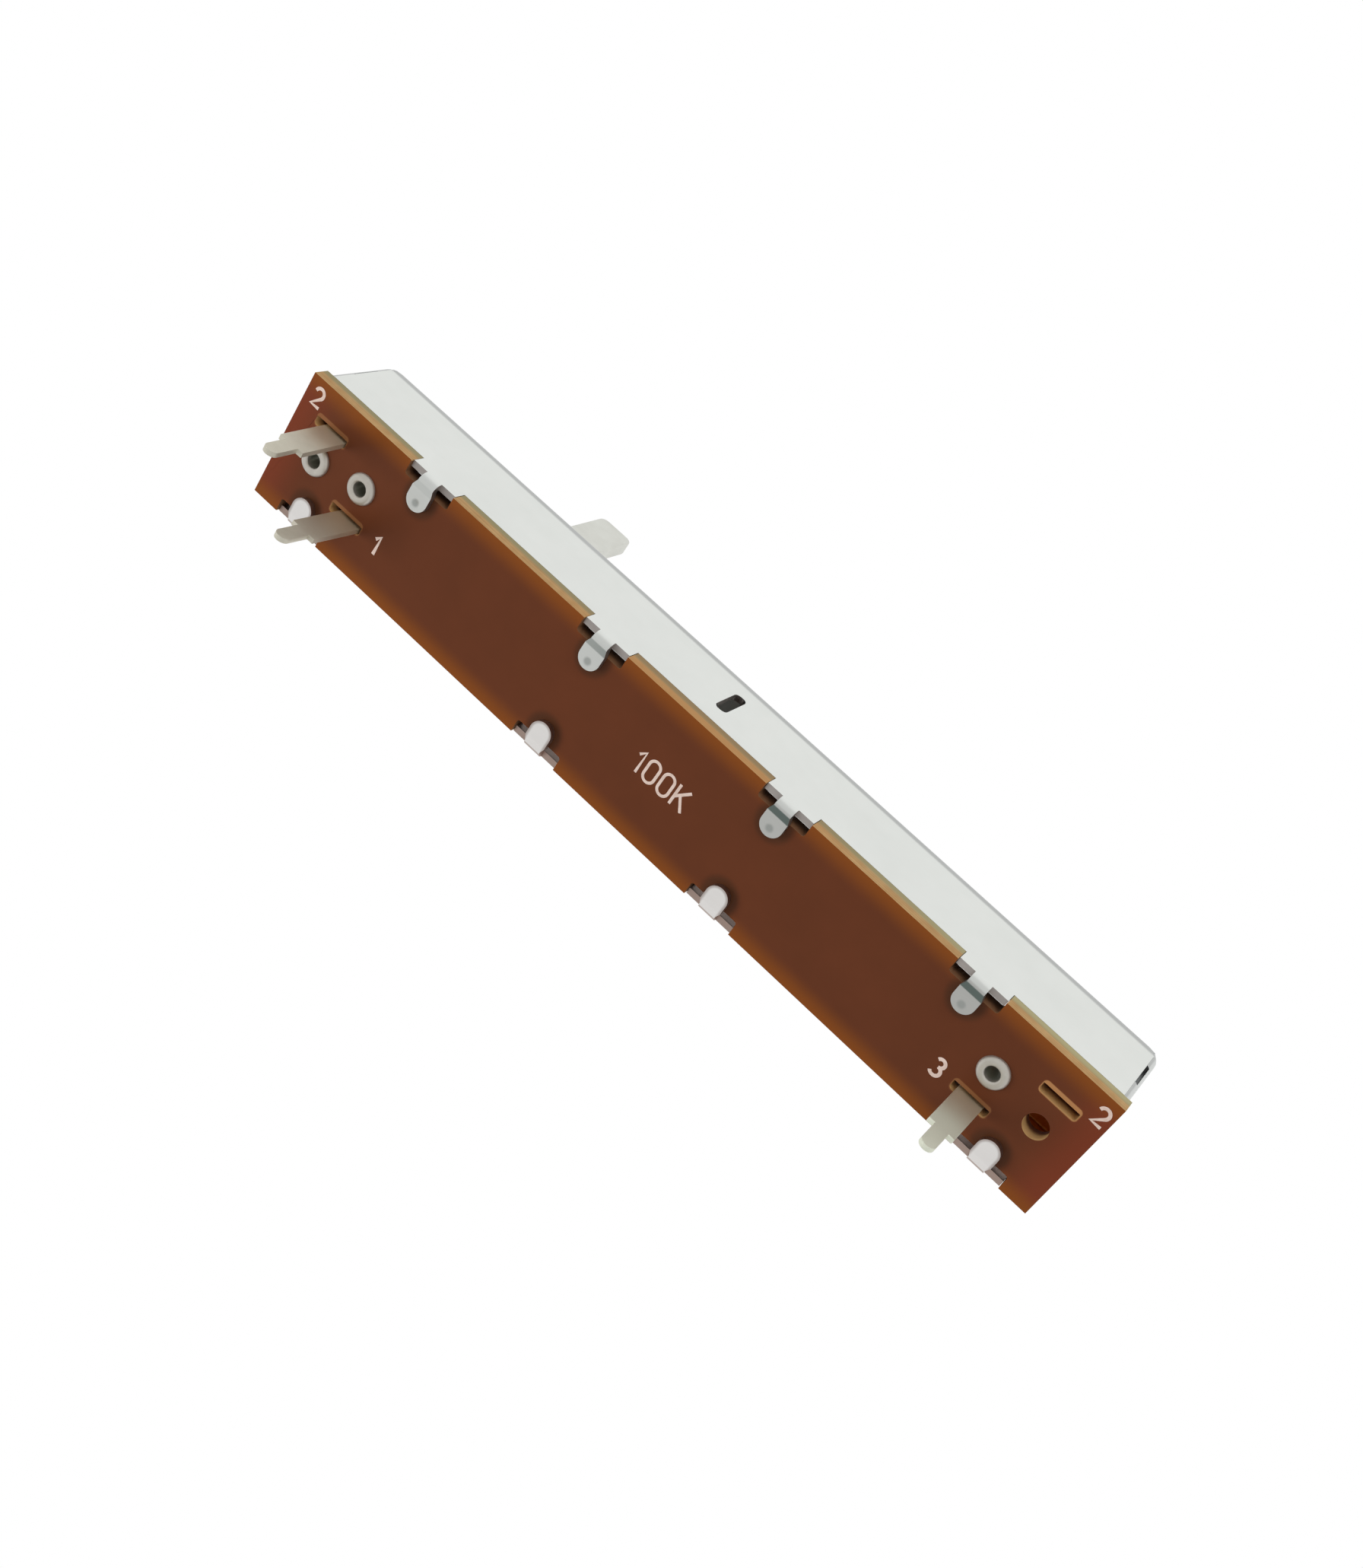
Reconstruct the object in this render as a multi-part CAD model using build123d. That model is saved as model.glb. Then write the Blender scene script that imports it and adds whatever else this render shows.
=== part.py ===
from build123d import *
import os
from math import cos, radians, sin, tan

# Slide potentiometer with a 60 mm stroke, in millimetres.
#
# A folded steel case is closed from below by a phenolic board. Eight tabs of the case pass through
# notches in the board and are folded over it. The board carries two printed tracks inside and three
# stamped terminals, each held by a hollow eyelet. A moulded carriage with a steel lever slides in
# the case, and a sprung contact under it bridges the two tracks.
#
# The origin is midway between the two tapped panel holes, on the case's top face. +Z is up, along
# the lever, +X runs along the stroke and the terminals point to -Z.

# ---- Stroke and body ----
TRAVEL = 60.0            # stroke of the lever
REST_FROM_LEFT = 9.35    # where the lever stands, from the left end of its stroke
STOP_GAP = 0.25          # carriage to end flap at the end of the stroke
BODY_W = 10.7            # width over the side walls, and of the board
CASE_H = 7.9             # top face to the board's inner face
SHEET = 0.5              # steel sheet of the case
SIDE_BEND_R = 0.15       # inside radius of the long folds
END_BEND_R = 0.7         # inside radius of the folds at the two ends
BOARD_T = 1.45           # phenolic board
BOARD_OVERHANG = 0.15    # board past the case, at each end

# ---- Case details ----
SLOT_SIDE_GAP = 0.35     # lever to slot, each side
SLOT_END_GAP = 0.5       # lever to slot, each end of the stroke
PANEL_HOLE_R = 1.25      # minor radius of the M3 thread
PANEL_HOLE_FROM_END = 2.5
COLLAR_WALL = 0.45       # burred collar round each tapped hole
COLLAR_DROP = 0.8        # the collar's reach below the sheet
SEAM = 0.08              # slit where a side wall meets an end flap
SEAM_RELIEF_W = 0.3      # wider part of that slit
SEAM_RELIEF_H = 2.9
SEAM_RELIEF_TOP = 2.65   # below the top face
WINDOW_W = 1.0           # narrow upright slot in the front wall
WINDOW_H = 3.9
WINDOW_TOP = 2.3         # below the top face

# ---- Crimp tabs and the board's notches ----
TAB_SHOULDER_W = 4.1     # step of the wall that sits in a notch and carries the tab
TAB_NECK_W = 1.45
TAB_HEAD_W = 1.8
TAB_REACH = 2.7          # from the wall's outer face to the tab's rounded end
TAB_BEND_R = 0.22        # inside radius of a tab's fold
CREASE_RISE = 0.096      # a slope after the fold leads down to the flat head
CREASE_SLOPE = 12.0      # degrees
TAB_INNER_X = 8.5        # inner pair, the same on both sides
FRONT_TAB_FROM_END = 12.0
REAR_TAB_FROM_END = 4.45
NOTCH_SIDE_GAP = 0.15    # shoulder to notch, each side
NOTCH_CLEAR = 0.05       # behind the crease of the tab
NOTCH_CORNER_R = 0.2

# ---- Eyelets and terminals ----
END_EYELET_FROM_END = 7.6     # terminals 1 and 3
END_EYELET_Y = -0.88
END_SLOT_Y = 1.75
MID_EYELET_FROM_END = 3.33    # terminal 2, and the spare place at the other end
MID_EYELET_Y = -0.05
MID_SLOT_Y = -2.7
BLADE_SLOT_L = 3.05
BLADE_SLOT_W = 0.95
BLADE_SLOT_CORNER_R = 0.25
BLADE_T = 0.4
BLADE_W = 2.15
BLADE_BACK_GAP = 0.5     # slot edge to blade, on the front side
LEFT_BLADE_SHIFT = 0.25  # blades 1 and 2 stand this much to the right in their slots
MID_BLADE_LEAN = 3.0     # degrees that blade 2 is bent to the right
BLADE_BEND_R = 0.12
TIP_W = 1.15
SHOULDER_DROP = 5.0      # board's lower face to the blade's shoulders
TIP_DROP = 7.7           # board's lower face to the tip
FOOT_R = 1.3             # rounded end of the foot, round the eyelet
EYELET_BORE_R = 0.55
EYELET_TUBE_R = 0.78
EYELET_CLEAR = 0.07      # tube to hole
EYELET_RIM_R = 1.2
EYELET_HEAD_T = 0.25
EYELET_ROLL_H = 0.34
EYELET_ROLL_FLATS = 3    # flats that stand for the rolled rim's curve
SPARE_HOLE_R = 0.95

# ---- Printed films ----
FILM_T = 0.03
TRACK_Y = 3.15           # centre line, carbon in front and silver behind
TRACK_W = 1.5
TRACK_OVERRUN = 1.7      # films past the contact's last place
CARBON_SHORT = 1.4       # the carbon stops this far before that place
PAD_W = 2.2

# ---- Carriage, lever and contact ----
CARRIAGE_L = 13.2
GUIDE_CLEAR = 0.07       # carriage to the case, each guided face
SHOE_L = 2.4             # guide pads at the carriage's corners
SHOE_STAND = 0.35        # how far the pads stand proud
CARRIAGE_LIFT = 1.6      # board to the carriage's underside
CHANNEL_GAP = 0.35       # carriage to the burred collars
POCKET_L = 2.0           # coring pockets at both ends of the lever's socket
POCKET_W = 3.0
POCKET_DEPTH = 2.4
END_WALL = 0.9
LEVER_W = 3.2
LEVER_T = 1.2
LEVER_REACH = 14.2       # above the case's top face
LEVER_TIP_R = 0.65
LEVER_FOOT_W = 5.4
LEVER_FOOT_H = 1.3
SOCKET_FLOOR = 0.8
MOULD_GAP = 0.02         # lever to the plastic round it
CONTACT_T = 0.15
CONTACT_BASE_L = 2.2
CONTACT_BASE_X = 3.5     # from the contact line to the base's near edge
FINGER_W = 0.34
FINGER_PITCH = 0.48
FINGERS = 3              # on each track
FINGER_NOSE = 0.6        # turned-up end past the contact line
FINGER_NOSE_RISE = 0.4
FINGER_BEND_R = 0.5
FINGER_ROOT = 0.55       # flat run of a finger before it slopes down
CONTACT_GAP = 0.04       # contact to film, so that the solids stay apart
STAKE_R = 0.5
STAKE_Y = 1.3
STAKE_CLEAR = 0.05
STAKE_HEAD_R = 0.85
STAKE_HEAD_T = 0.32
STAKE_HEAD_BEVEL = 0.2

# ---- Places that follow from them ----
CASE_L = TRAVEL + CARRIAGE_L + 2 * (STOP_GAP + SHEET)
BOARD_L = CASE_L + 2 * BOARD_OVERHANG
CASE_END = CASE_L / 2
HALF_L = BOARD_L / 2
HALF_W = BODY_W / 2
SIDE_FOLD_R = SHEET + SIDE_BEND_R
END_FOLD_R = SHEET + END_BEND_R
TAB_FOLD_R = SHEET + TAB_BEND_R
BOARD_TOP = -CASE_H
BOARD_BOTTOM = BOARD_TOP - BOARD_T
TAB_TURN = radians(90 - CREASE_SLOPE)
TAB_LOW = BOARD_BOTTOM - SHEET
TAB_END_Y = HALF_W - TAB_REACH
SHOULDER_Z = TAB_LOW + CREASE_RISE + TAB_FOLD_R * sin(TAB_TURN)
NOTCH_W = TAB_SHOULDER_W + 2 * NOTCH_SIDE_GAP
FILM_TOP = BOARD_TOP + FILM_T
FOOT_TOP = FILM_TOP + BLADE_T
REST_X = REST_FROM_LEFT - TRAVEL / 2
END_X = HALF_L - END_EYELET_FROM_END
MID_X = HALF_L - MID_EYELET_FROM_END
PANEL_HOLE_X = HALF_L - PANEL_HOLE_FROM_END
COLLAR_R = PANEL_HOLE_R + COLLAR_WALL
FRONT_TAB_X = HALF_L - FRONT_TAB_FROM_END
REAR_TAB_X = HALF_L - REAR_TAB_FROM_END
CARRIAGE_BOTTOM = BOARD_TOP + CARRIAGE_LIFT
TRACK_END = TRAVEL / 2 + TRACK_OVERRUN
EYELET_HOLE_R = EYELET_TUBE_R + EYELET_CLEAR

# Side -1 is the front wall and side 1 the rear wall.
TABS = [(sx * x, side)
        for side, outer in ((-1, FRONT_TAB_X), (1, REAR_TAB_X))
        for x in (TAB_INNER_X, outer)
        for sx in (-1, 1)]


def block(x0, x1, y0, y1, z0, z1):
    """A box between two corners."""
    return Pos((x0 + x1) / 2, (y0 + y1) / 2, (z0 + z1) / 2) * Box(x1 - x0, y1 - y0, z1 - z0)


def slab(sketch, z0, z1):
    """A plan view raised from one height to another."""
    return Pos(0, 0, z0) * extrude(sketch, z1 - z0)


def strip_across(profile, width):
    """A profile drawn in the YZ plane, given a width that is centred on X = 0."""
    return extrude(profile, width / 2, both=True)


# ---------------------------------------------------------------- case
def rounded_block(half_l, half_w, top, end_r, side_r):
    """A block whose top edges are rounded, first across its ends and then along its sides."""
    body = block(-half_l, half_l, -half_w, half_w, -CASE_H, top)
    body = fillet(body.faces().sort_by(Axis.Z)[-1].edges().filter_by(Axis.Y), end_r)
    for side in (-1, 1):
        wall = body.faces().sort_by(Axis.Y)[0 if side < 0 else -1]
        rim = [e for e in wall.edges() if e.center().Z > top - end_r]
        body = fillet(rim, side_r)
    return body


def folded_shell():
    """The sheet folded down on four sides, open below."""
    outer = rounded_block(CASE_END, HALF_W, 0, END_FOLD_R, SIDE_FOLD_R)
    inner = rounded_block(CASE_END - SHEET, HALF_W - SHEET, -SHEET, END_BEND_R, SIDE_BEND_R)
    return outer - inner


def corner_slits():
    """The open seams between the side walls and the end flaps, each with its wider relief."""
    flap = CASE_END - SHEET
    slits = []
    for side in (-1, 1):
        y0, y1 = sorted((side * HALF_W, side * (HALF_W - SHEET)))
        for end in (-1, 1):
            seam = sorted((end * flap, end * (flap - SEAM)))
            relief = sorted((end * flap, end * (flap - SEAM_RELIEF_W)))
            slits.append(block(*seam, y0, y1, -CASE_H, -END_FOLD_R))
            slits.append(block(*relief, y0, y1, -SEAM_RELIEF_TOP - SEAM_RELIEF_H, -SEAM_RELIEF_TOP))
    return slits


def crease(bend_r, z):
    """Both ends of the slope that leads from a fold of this radius down to a height, as (y, z)."""
    start_y = HALF_W - TAB_FOLD_R + bend_r * cos(TAB_TURN)
    start_z = SHOULDER_Z - bend_r * sin(TAB_TURN)
    return (start_y, start_z), (start_y - (start_z - z) * tan(TAB_TURN), z)


def tab_plan(neck_y, full_y):
    """The tab seen from below: a neck from the wall, widening over the crease to a round head."""
    neck, head = TAB_NECK_W / 2, TAB_HEAD_W / 2
    round_y = TAB_END_Y + head
    half = [(neck, HALF_W), (neck, neck_y), (head, full_y), (head, round_y)]
    plan = make_face(Polyline(*half, *[(-x, y) for x, y in reversed(half)], close=True))
    return plan + Pos(0, round_y) * Circle(head)


def crimp_tab(x, side):
    """A shoulder in the notch, and a tab folded in from it, creased and then flat on the board."""
    outer_start, outer_end = crease(TAB_FOLD_R, TAB_LOW)
    inner_start, inner_end = crease(TAB_BEND_R, BOARD_BOTTOM)
    section = (
        Line((HALF_W, BOARD_TOP), (HALF_W, SHOULDER_Z))
        + RadiusArc((HALF_W, SHOULDER_Z), outer_start, TAB_FOLD_R)
        + Polyline(outer_start, outer_end, (TAB_END_Y, TAB_LOW), (TAB_END_Y, BOARD_BOTTOM), inner_end,
                   inner_start)
        + RadiusArc(inner_start, (HALF_W - SHEET, SHOULDER_Z), -TAB_BEND_R)
        + Polyline((HALF_W - SHEET, SHOULDER_Z), (HALF_W - SHEET, BOARD_TOP), (HALF_W, BOARD_TOP))
    )
    strip = strip_across(make_face(Plane.YZ * section), TAB_HEAD_W)
    tab = strip & slab(tab_plan(outer_start[0], outer_end[0]), TAB_LOW, BOARD_TOP)
    tab += block(-TAB_SHOULDER_W / 2, TAB_SHOULDER_W / 2, HALF_W - SHEET, HALF_W, SHOULDER_Z, BOARD_TOP)
    return Pos(x, 0, 0) * (tab if side > 0 else Rot(0, 0, 180) * tab)


def make_case():
    case = folded_shell()
    for x in (-PANEL_HOLE_X, PANEL_HOLE_X):
        case += Pos(x, 0, -SHEET - COLLAR_DROP / 2) * Cylinder(COLLAR_R, COLLAR_DROP)
        case -= Pos(x, 0, -(SHEET + COLLAR_DROP) / 2) * Cylinder(PANEL_HOLE_R, SHEET + COLLAR_DROP)
    slot_l = TRAVEL + LEVER_W + 2 * SLOT_END_GAP
    slot_w = LEVER_T + 2 * SLOT_SIDE_GAP
    case -= slab(SlotOverall(slot_l, slot_w), -SHEET, 0)
    case -= block(-WINDOW_W / 2, WINDOW_W / 2, -HALF_W, SHEET - HALF_W,
                  -WINDOW_TOP - WINDOW_H, -WINDOW_TOP)
    case -= corner_slits()
    for x, side in TABS:
        case += crimp_tab(x, side)
    return case


# ---------------------------------------------------------------- board and films
def make_element_board():
    plan = Rectangle(BOARD_L, BODY_W)
    _, crease_end = crease(TAB_BEND_R, BOARD_BOTTOM)
    notch_depth = HALF_W - crease_end[0] + NOTCH_CLEAR
    for x, side in TABS:
        plan -= Pos(x, side * HALF_W) * RectangleRounded(NOTCH_W, 2 * notch_depth, NOTCH_CORNER_R)
    for x, slot_y in ((END_X, END_SLOT_Y), (MID_X, MID_SLOT_Y)):
        for sx in (-1, 1):
            plan -= Pos(sx * x, slot_y) * RectangleRounded(BLADE_SLOT_L, BLADE_SLOT_W,
                                                          BLADE_SLOT_CORNER_R)
    for x, y in ((-END_X, END_EYELET_Y), (END_X, END_EYELET_Y), (-MID_X, MID_EYELET_Y)):
        plan -= Pos(x, y) * Circle(EYELET_HOLE_R)
    plan -= Pos(MID_X, MID_EYELET_Y) * Circle(SPARE_HOLE_R)
    return slab(plan, BOARD_BOTTOM, BOARD_TOP)


def film(plan):
    """A printed layer on the board's inner face."""
    return slab(plan, BOARD_TOP, FILM_TOP)


def patch(x0, x1, y0, y1):
    """A rectangle of print between two corners."""
    return Pos((x0 + x1) / 2, (y0 + y1) / 2) * Rectangle(x1 - x0, y1 - y0)


def carbon_plan():
    half = TRAVEL / 2 - CARBON_SHORT
    return patch(-half, half, -TRACK_Y - TRACK_W / 2, -TRACK_Y + TRACK_W / 2)


def make_resistive_track():
    return film(carbon_plan())


def make_end_pad(end):
    """Silver print from the carbon's end to the eyelet of terminal 1 or 3."""
    x0, x1 = sorted((end * (TRAVEL / 2 - CARBON_SHORT), end * TRACK_END))
    plan = patch(x0, x1, -TRACK_Y - TRACK_W / 2, -TRACK_Y + TRACK_W / 2)
    eyelet_x = end * END_X
    plan += patch(eyelet_x - PAD_W / 2, eyelet_x + PAD_W / 2, -TRACK_Y, END_EYELET_Y)
    plan += Pos(eyelet_x, END_EYELET_Y) * Circle(FOOT_R)
    plan -= Pos(eyelet_x, END_EYELET_Y) * Circle(EYELET_HOLE_R)
    return film(plan - carbon_plan())


def make_collector_track():
    """Silver print along the rear of the board, led round the left end to terminal 2."""
    y0, y1 = TRACK_Y - TRACK_W / 2, TRACK_Y + TRACK_W / 2
    plan = patch(-MID_X - PAD_W / 2, TRACK_END, y0, y1)
    plan += patch(-MID_X - PAD_W / 2, -MID_X + PAD_W / 2, MID_EYELET_Y, y1)
    plan += Pos(-MID_X, MID_EYELET_Y) * Circle(FOOT_R)
    plan -= Pos(-MID_X, MID_EYELET_Y) * Circle(EYELET_HOLE_R)
    return film(plan)


# ---------------------------------------------------------------- terminals and eyelets
def make_terminal(x, eyelet_y, slot_y, shift=0, lean=0):
    """Stamped blade: a foot under the eyelet, a fold, and a stepped blade down through the slot."""
    toward = 1 if slot_y > eyelet_y else -1
    front = slot_y - BLADE_SLOT_W / 2 + BLADE_BACK_GAP
    faces = [toward * (y - eyelet_y) for y in (front, front + BLADE_T)]
    near, far = min(faces), max(faces)
    outer_r = BLADE_BEND_R + BLADE_T
    bend_z = FILM_TOP - BLADE_BEND_R
    outline = (
        Line((0, FILM_TOP), (near - BLADE_BEND_R, FILM_TOP))
        + RadiusArc((near - BLADE_BEND_R, FILM_TOP), (near, bend_z), BLADE_BEND_R)
        + Line((near, bend_z), (far, bend_z))
        + RadiusArc((far, bend_z), (far - outer_r, FOOT_TOP), -outer_r)
        + Line((far - outer_r, FOOT_TOP), (0, FOOT_TOP))
        + Line((0, FOOT_TOP), (0, FILM_TOP))
    )
    foot = strip_across(make_face(Plane.YZ * outline), BLADE_W)
    shoulder = BOARD_BOTTOM - SHOULDER_DROP
    tip_centre = BOARD_BOTTOM - TIP_DROP + TIP_W / 2
    blade = block(-BLADE_W / 2, BLADE_W / 2, near, far, shoulder, bend_z)
    blade += block(-TIP_W / 2, TIP_W / 2, near, far, tip_centre, shoulder)
    blade += Pos(0, (near + far) / 2, tip_centre) * Rot(90, 0, 0) * Cylinder(TIP_W / 2, BLADE_T)
    blade = Pos(0, 0, BOARD_TOP) * Rot(0, -toward * lean, 0) * Pos(0, 0, -BOARD_TOP) * blade
    terminal = Pos(toward * shift, 0, 0) * (foot + blade)
    terminal += slab(Circle(FOOT_R), FILM_TOP, FOOT_TOP)
    terminal -= slab(Circle(EYELET_HOLE_R), FILM_TOP, FOOT_TOP)
    return Pos(x, eyelet_y, 0) * (terminal if toward > 0 else Rot(0, 0, 180) * terminal)


def make_eyelet(x, y):
    """Hollow rivet: a flat head on the terminal's foot, and a rolled rim on the board's lower face."""
    head_top = FOOT_TOP + EYELET_HEAD_T
    crest_r = (EYELET_TUBE_R + EYELET_BORE_R) / 2 + EYELET_HEAD_T
    crest_z = BOARD_BOTTOM - EYELET_ROLL_H
    mouth_z = BOARD_BOTTOM - EYELET_HEAD_T / 2
    roll = ThreePointArc((EYELET_RIM_R, BOARD_BOTTOM), (crest_r, crest_z), (EYELET_BORE_R, mouth_z))
    rim = [roll @ (i / EYELET_ROLL_FLATS) for i in range(EYELET_ROLL_FLATS + 1)]
    outline = (
        Line((EYELET_BORE_R, head_top), (EYELET_RIM_R, head_top))
        + Line((EYELET_RIM_R, head_top), (EYELET_RIM_R, FOOT_TOP))
        + Line((EYELET_RIM_R, FOOT_TOP), (EYELET_TUBE_R, FOOT_TOP))
        + Line((EYELET_TUBE_R, FOOT_TOP), (EYELET_TUBE_R, BOARD_BOTTOM))
        + Line((EYELET_TUBE_R, BOARD_BOTTOM), (EYELET_RIM_R, BOARD_BOTTOM))
        + Polyline(*rim)
        + Line((EYELET_BORE_R, mouth_z), (EYELET_BORE_R, head_top))
    )
    return Pos(x, y, 0) * revolve(make_face(Plane.XZ * outline), Axis.Z)


# ---------------------------------------------------------------- slider
def lever_outline(grow, top):
    """Front view of the lever: a stem with a wider foot, grown by a gap when it cuts the socket."""
    floor = CARRIAGE_BOTTOM + SOCKET_FLOOR
    foot_half = LEVER_FOOT_W / 2 + grow
    stem_half = LEVER_W / 2 + grow
    plan = Pos(0, floor + LEVER_FOOT_H / 2) * Rectangle(2 * foot_half, LEVER_FOOT_H + 2 * grow)
    return plan + Pos(0, (floor + top) / 2) * Rectangle(2 * stem_half, top - floor)


def make_lever():
    blade = extrude(Plane.XZ * lever_outline(0, LEVER_REACH), LEVER_T / 2, both=True)
    top = blade.faces().sort_by(Axis.Z)[-1]
    return Pos(REST_X, 0, 0) * fillet(top.edges().filter_by(Axis.Y), LEVER_TIP_R)


def make_slider_carriage():
    """Moulded block: guide pads at its corners, a channel over the collars and the lever's socket."""
    half_l = CARRIAGE_L / 2
    half_w = HALF_W - SHEET - GUIDE_CLEAR
    top = -SHEET - GUIDE_CLEAR
    waist_l = CARRIAGE_L - 2 * SHOE_L
    plan = RectangleRounded(CARRIAGE_L, 2 * half_w, SHOE_STAND)
    side_view = Pos(0, (CARRIAGE_BOTTOM + top) / 2) * Rectangle(CARRIAGE_L, top - CARRIAGE_BOTTOM)
    side_view = fillet(side_view.vertices().group_by(Axis.Y)[-1], END_BEND_R + GUIDE_CLEAR)
    body = slab(plan, CARRIAGE_BOTTOM, top) & extrude(Plane.XZ * side_view, half_w, both=True)
    body -= block(-waist_l / 2, waist_l / 2, -half_w, half_w, top - SHOE_STAND, top)
    for side in (-1, 1):
        y0, y1 = sorted((side * half_w, side * (half_w - SHOE_STAND)))
        body -= block(-waist_l / 2, waist_l / 2, y0, y1, CARRIAGE_BOTTOM, top)
    channel_w = COLLAR_R + CHANNEL_GAP
    channel_z = -SHEET - COLLAR_DROP - CHANNEL_GAP
    body -= block(-half_l, half_l, -channel_w, channel_w, channel_z, top)
    pocket_x = half_l - END_WALL - POCKET_L / 2
    for sx in (-1, 1):
        body -= Pos(sx * pocket_x, 0, channel_z - POCKET_DEPTH / 2) * Box(POCKET_L, POCKET_W,
                                                                         POCKET_DEPTH)
    socket = extrude(Plane.XZ * lever_outline(MOULD_GAP, top), LEVER_T / 2 + MOULD_GAP, both=True)
    body -= socket
    stake_x = CONTACT_BASE_X + CONTACT_BASE_L / 2
    for y in (-STAKE_Y, STAKE_Y):
        pin = Pos(0, 0, -CONTACT_T / 2) * Cylinder(STAKE_R, CONTACT_T)
        head = Pos(0, 0, -CONTACT_T - STAKE_HEAD_T / 2) * Cylinder(STAKE_HEAD_R, STAKE_HEAD_T)
        head = chamfer(head.edges().sort_by(Axis.Z)[0], STAKE_HEAD_BEVEL)
        body += Pos(stake_x, y, CARRIAGE_BOTTOM) * (pin + head)
    return Pos(REST_X, 0, 0) * body


def make_wiper():
    """Sprung contact: a base staked to the carriage, and fingers that run down to both tracks.

    It is drawn with the contact line at X = 0.
    """
    base_z = CARRIAGE_BOTTOM - CONTACT_T / 2
    low_z = FILM_TOP + CONTACT_GAP + CONTACT_T / 2
    finger_row = (FINGERS - 1) * FINGER_PITCH / 2
    base_half = TRACK_Y + finger_row + FINGER_W / 2
    plan = patch(CONTACT_BASE_X, CONTACT_BASE_X + CONTACT_BASE_L, -base_half, base_half)
    for y in (-STAKE_Y, STAKE_Y):
        hole = Pos(CONTACT_BASE_X + CONTACT_BASE_L / 2, y) * Circle(STAKE_R + STAKE_CLEAR)
        plan -= hole
    wiper = slab(plan, CARRIAGE_BOTTOM - CONTACT_T, CARRIAGE_BOTTOM)
    route = FilletPolyline(
        (CONTACT_BASE_X + CONTACT_T, base_z),
        (CONTACT_BASE_X - FINGER_ROOT, base_z),
        (0, low_z),
        (-FINGER_NOSE, low_z + FINGER_NOSE_RISE),
        radius=FINGER_BEND_R,
    )
    nose_drop = low_z - route.bounding_box().min.Y
    route = Pos(0, nose_drop) * route
    finger = extrude(Plane.XZ * trace(route, CONTACT_T), FINGER_W / 2, both=True)
    for track in (-TRACK_Y, TRACK_Y):
        for i in range(FINGERS):
            wiper += Pos(0, track - finger_row + i * FINGER_PITCH, 0) * finger
    return Pos(REST_X, 0, 0) * wiper


def main():
    os.makedirs("parts", exist_ok=True)
    nodes = {
        "case": make_case(),
        "element_board": make_element_board(),
        "resistive_track": make_resistive_track(),
        "collector_track": make_collector_track(),
        "end_pad_1": make_end_pad(-1),
        "end_pad_3": make_end_pad(1),
        "terminal_1": make_terminal(-END_X, END_EYELET_Y, END_SLOT_Y, LEFT_BLADE_SHIFT),
        "terminal_2": make_terminal(-MID_X, MID_EYELET_Y, MID_SLOT_Y, LEFT_BLADE_SHIFT,
                                    MID_BLADE_LEAN),
        "terminal_3": make_terminal(END_X, END_EYELET_Y, END_SLOT_Y),
        "eyelet_1": make_eyelet(-END_X, END_EYELET_Y),
        "eyelet_2": make_eyelet(-MID_X, MID_EYELET_Y),
        "eyelet_3": make_eyelet(END_X, END_EYELET_Y),
        "slider_carriage": make_slider_carriage(),
        "lever": make_lever(),
        "wiper": make_wiper(),
    }
    for name, shape in nodes.items():
        export_step(shape, f"parts/{name}.step")


main()
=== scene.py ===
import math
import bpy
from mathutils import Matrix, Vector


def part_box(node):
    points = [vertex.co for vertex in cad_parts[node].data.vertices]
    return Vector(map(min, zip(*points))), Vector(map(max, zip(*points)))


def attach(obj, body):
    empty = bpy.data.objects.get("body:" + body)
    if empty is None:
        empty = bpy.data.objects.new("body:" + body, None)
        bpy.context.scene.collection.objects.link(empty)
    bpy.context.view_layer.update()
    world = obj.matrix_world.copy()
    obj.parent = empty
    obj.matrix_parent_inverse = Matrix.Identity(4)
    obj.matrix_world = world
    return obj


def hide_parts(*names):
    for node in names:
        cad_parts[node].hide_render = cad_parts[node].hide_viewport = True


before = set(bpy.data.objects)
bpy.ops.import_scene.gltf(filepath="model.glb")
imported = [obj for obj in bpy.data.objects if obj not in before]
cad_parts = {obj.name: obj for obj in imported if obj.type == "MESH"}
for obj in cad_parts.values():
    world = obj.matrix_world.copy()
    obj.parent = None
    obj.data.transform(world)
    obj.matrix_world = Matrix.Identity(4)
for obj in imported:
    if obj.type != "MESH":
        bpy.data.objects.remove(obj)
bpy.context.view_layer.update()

# %% [markdown]
# # A slide potentiometer, seen from its solder side
#
# The real part is a folded steel case closed by a red-brown phenolic board. Blades for soldering come
# out through the board, and a flat steel lever slides along the other side. The imported model gives
# every solid in its right place. This lesson dresses those solids: it rounds the edges that a press or
# a mould would leave round, rolls the rivets properly, prints the numbers, and gives every surface its
# finish. All lengths are in metres, so a helper turns millimetres into them.

# %% Imports, and millimetres to metres
from types import SimpleNamespace

import bmesh
import bpy
from mathutils import Matrix, Vector


def mm(value):
    """Millimetres to metres."""
    return value / 1000


# %% [markdown]
# ## Places taken from the solids
#
# A piece that is added must sit where the solid says.

# %% Where the board and the case are
board_low, board_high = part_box("element_board")
case_low, case_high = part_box("case")
BOARD_FACE_Z = board_low.z          # the face with the blades; it looks down, along -Z
BOARD_INNER_Z = board_high.z
BOARD_HALF_L = board_high.x
BOARD_HALF_W = board_high.y
CASE_HALF_L = case_high.x
TAB_FACE_Z = case_low.z             # the outer face of the folded tabs
SHEET = BOARD_FACE_Z - TAB_FACE_Z   # one thickness of the steel sheet
print("board face z %.2f mm, tab face z %.2f mm, sheet %.2f mm"
      % (BOARD_FACE_Z * 1000, TAB_FACE_Z * 1000, SHEET * 1000))

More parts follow.
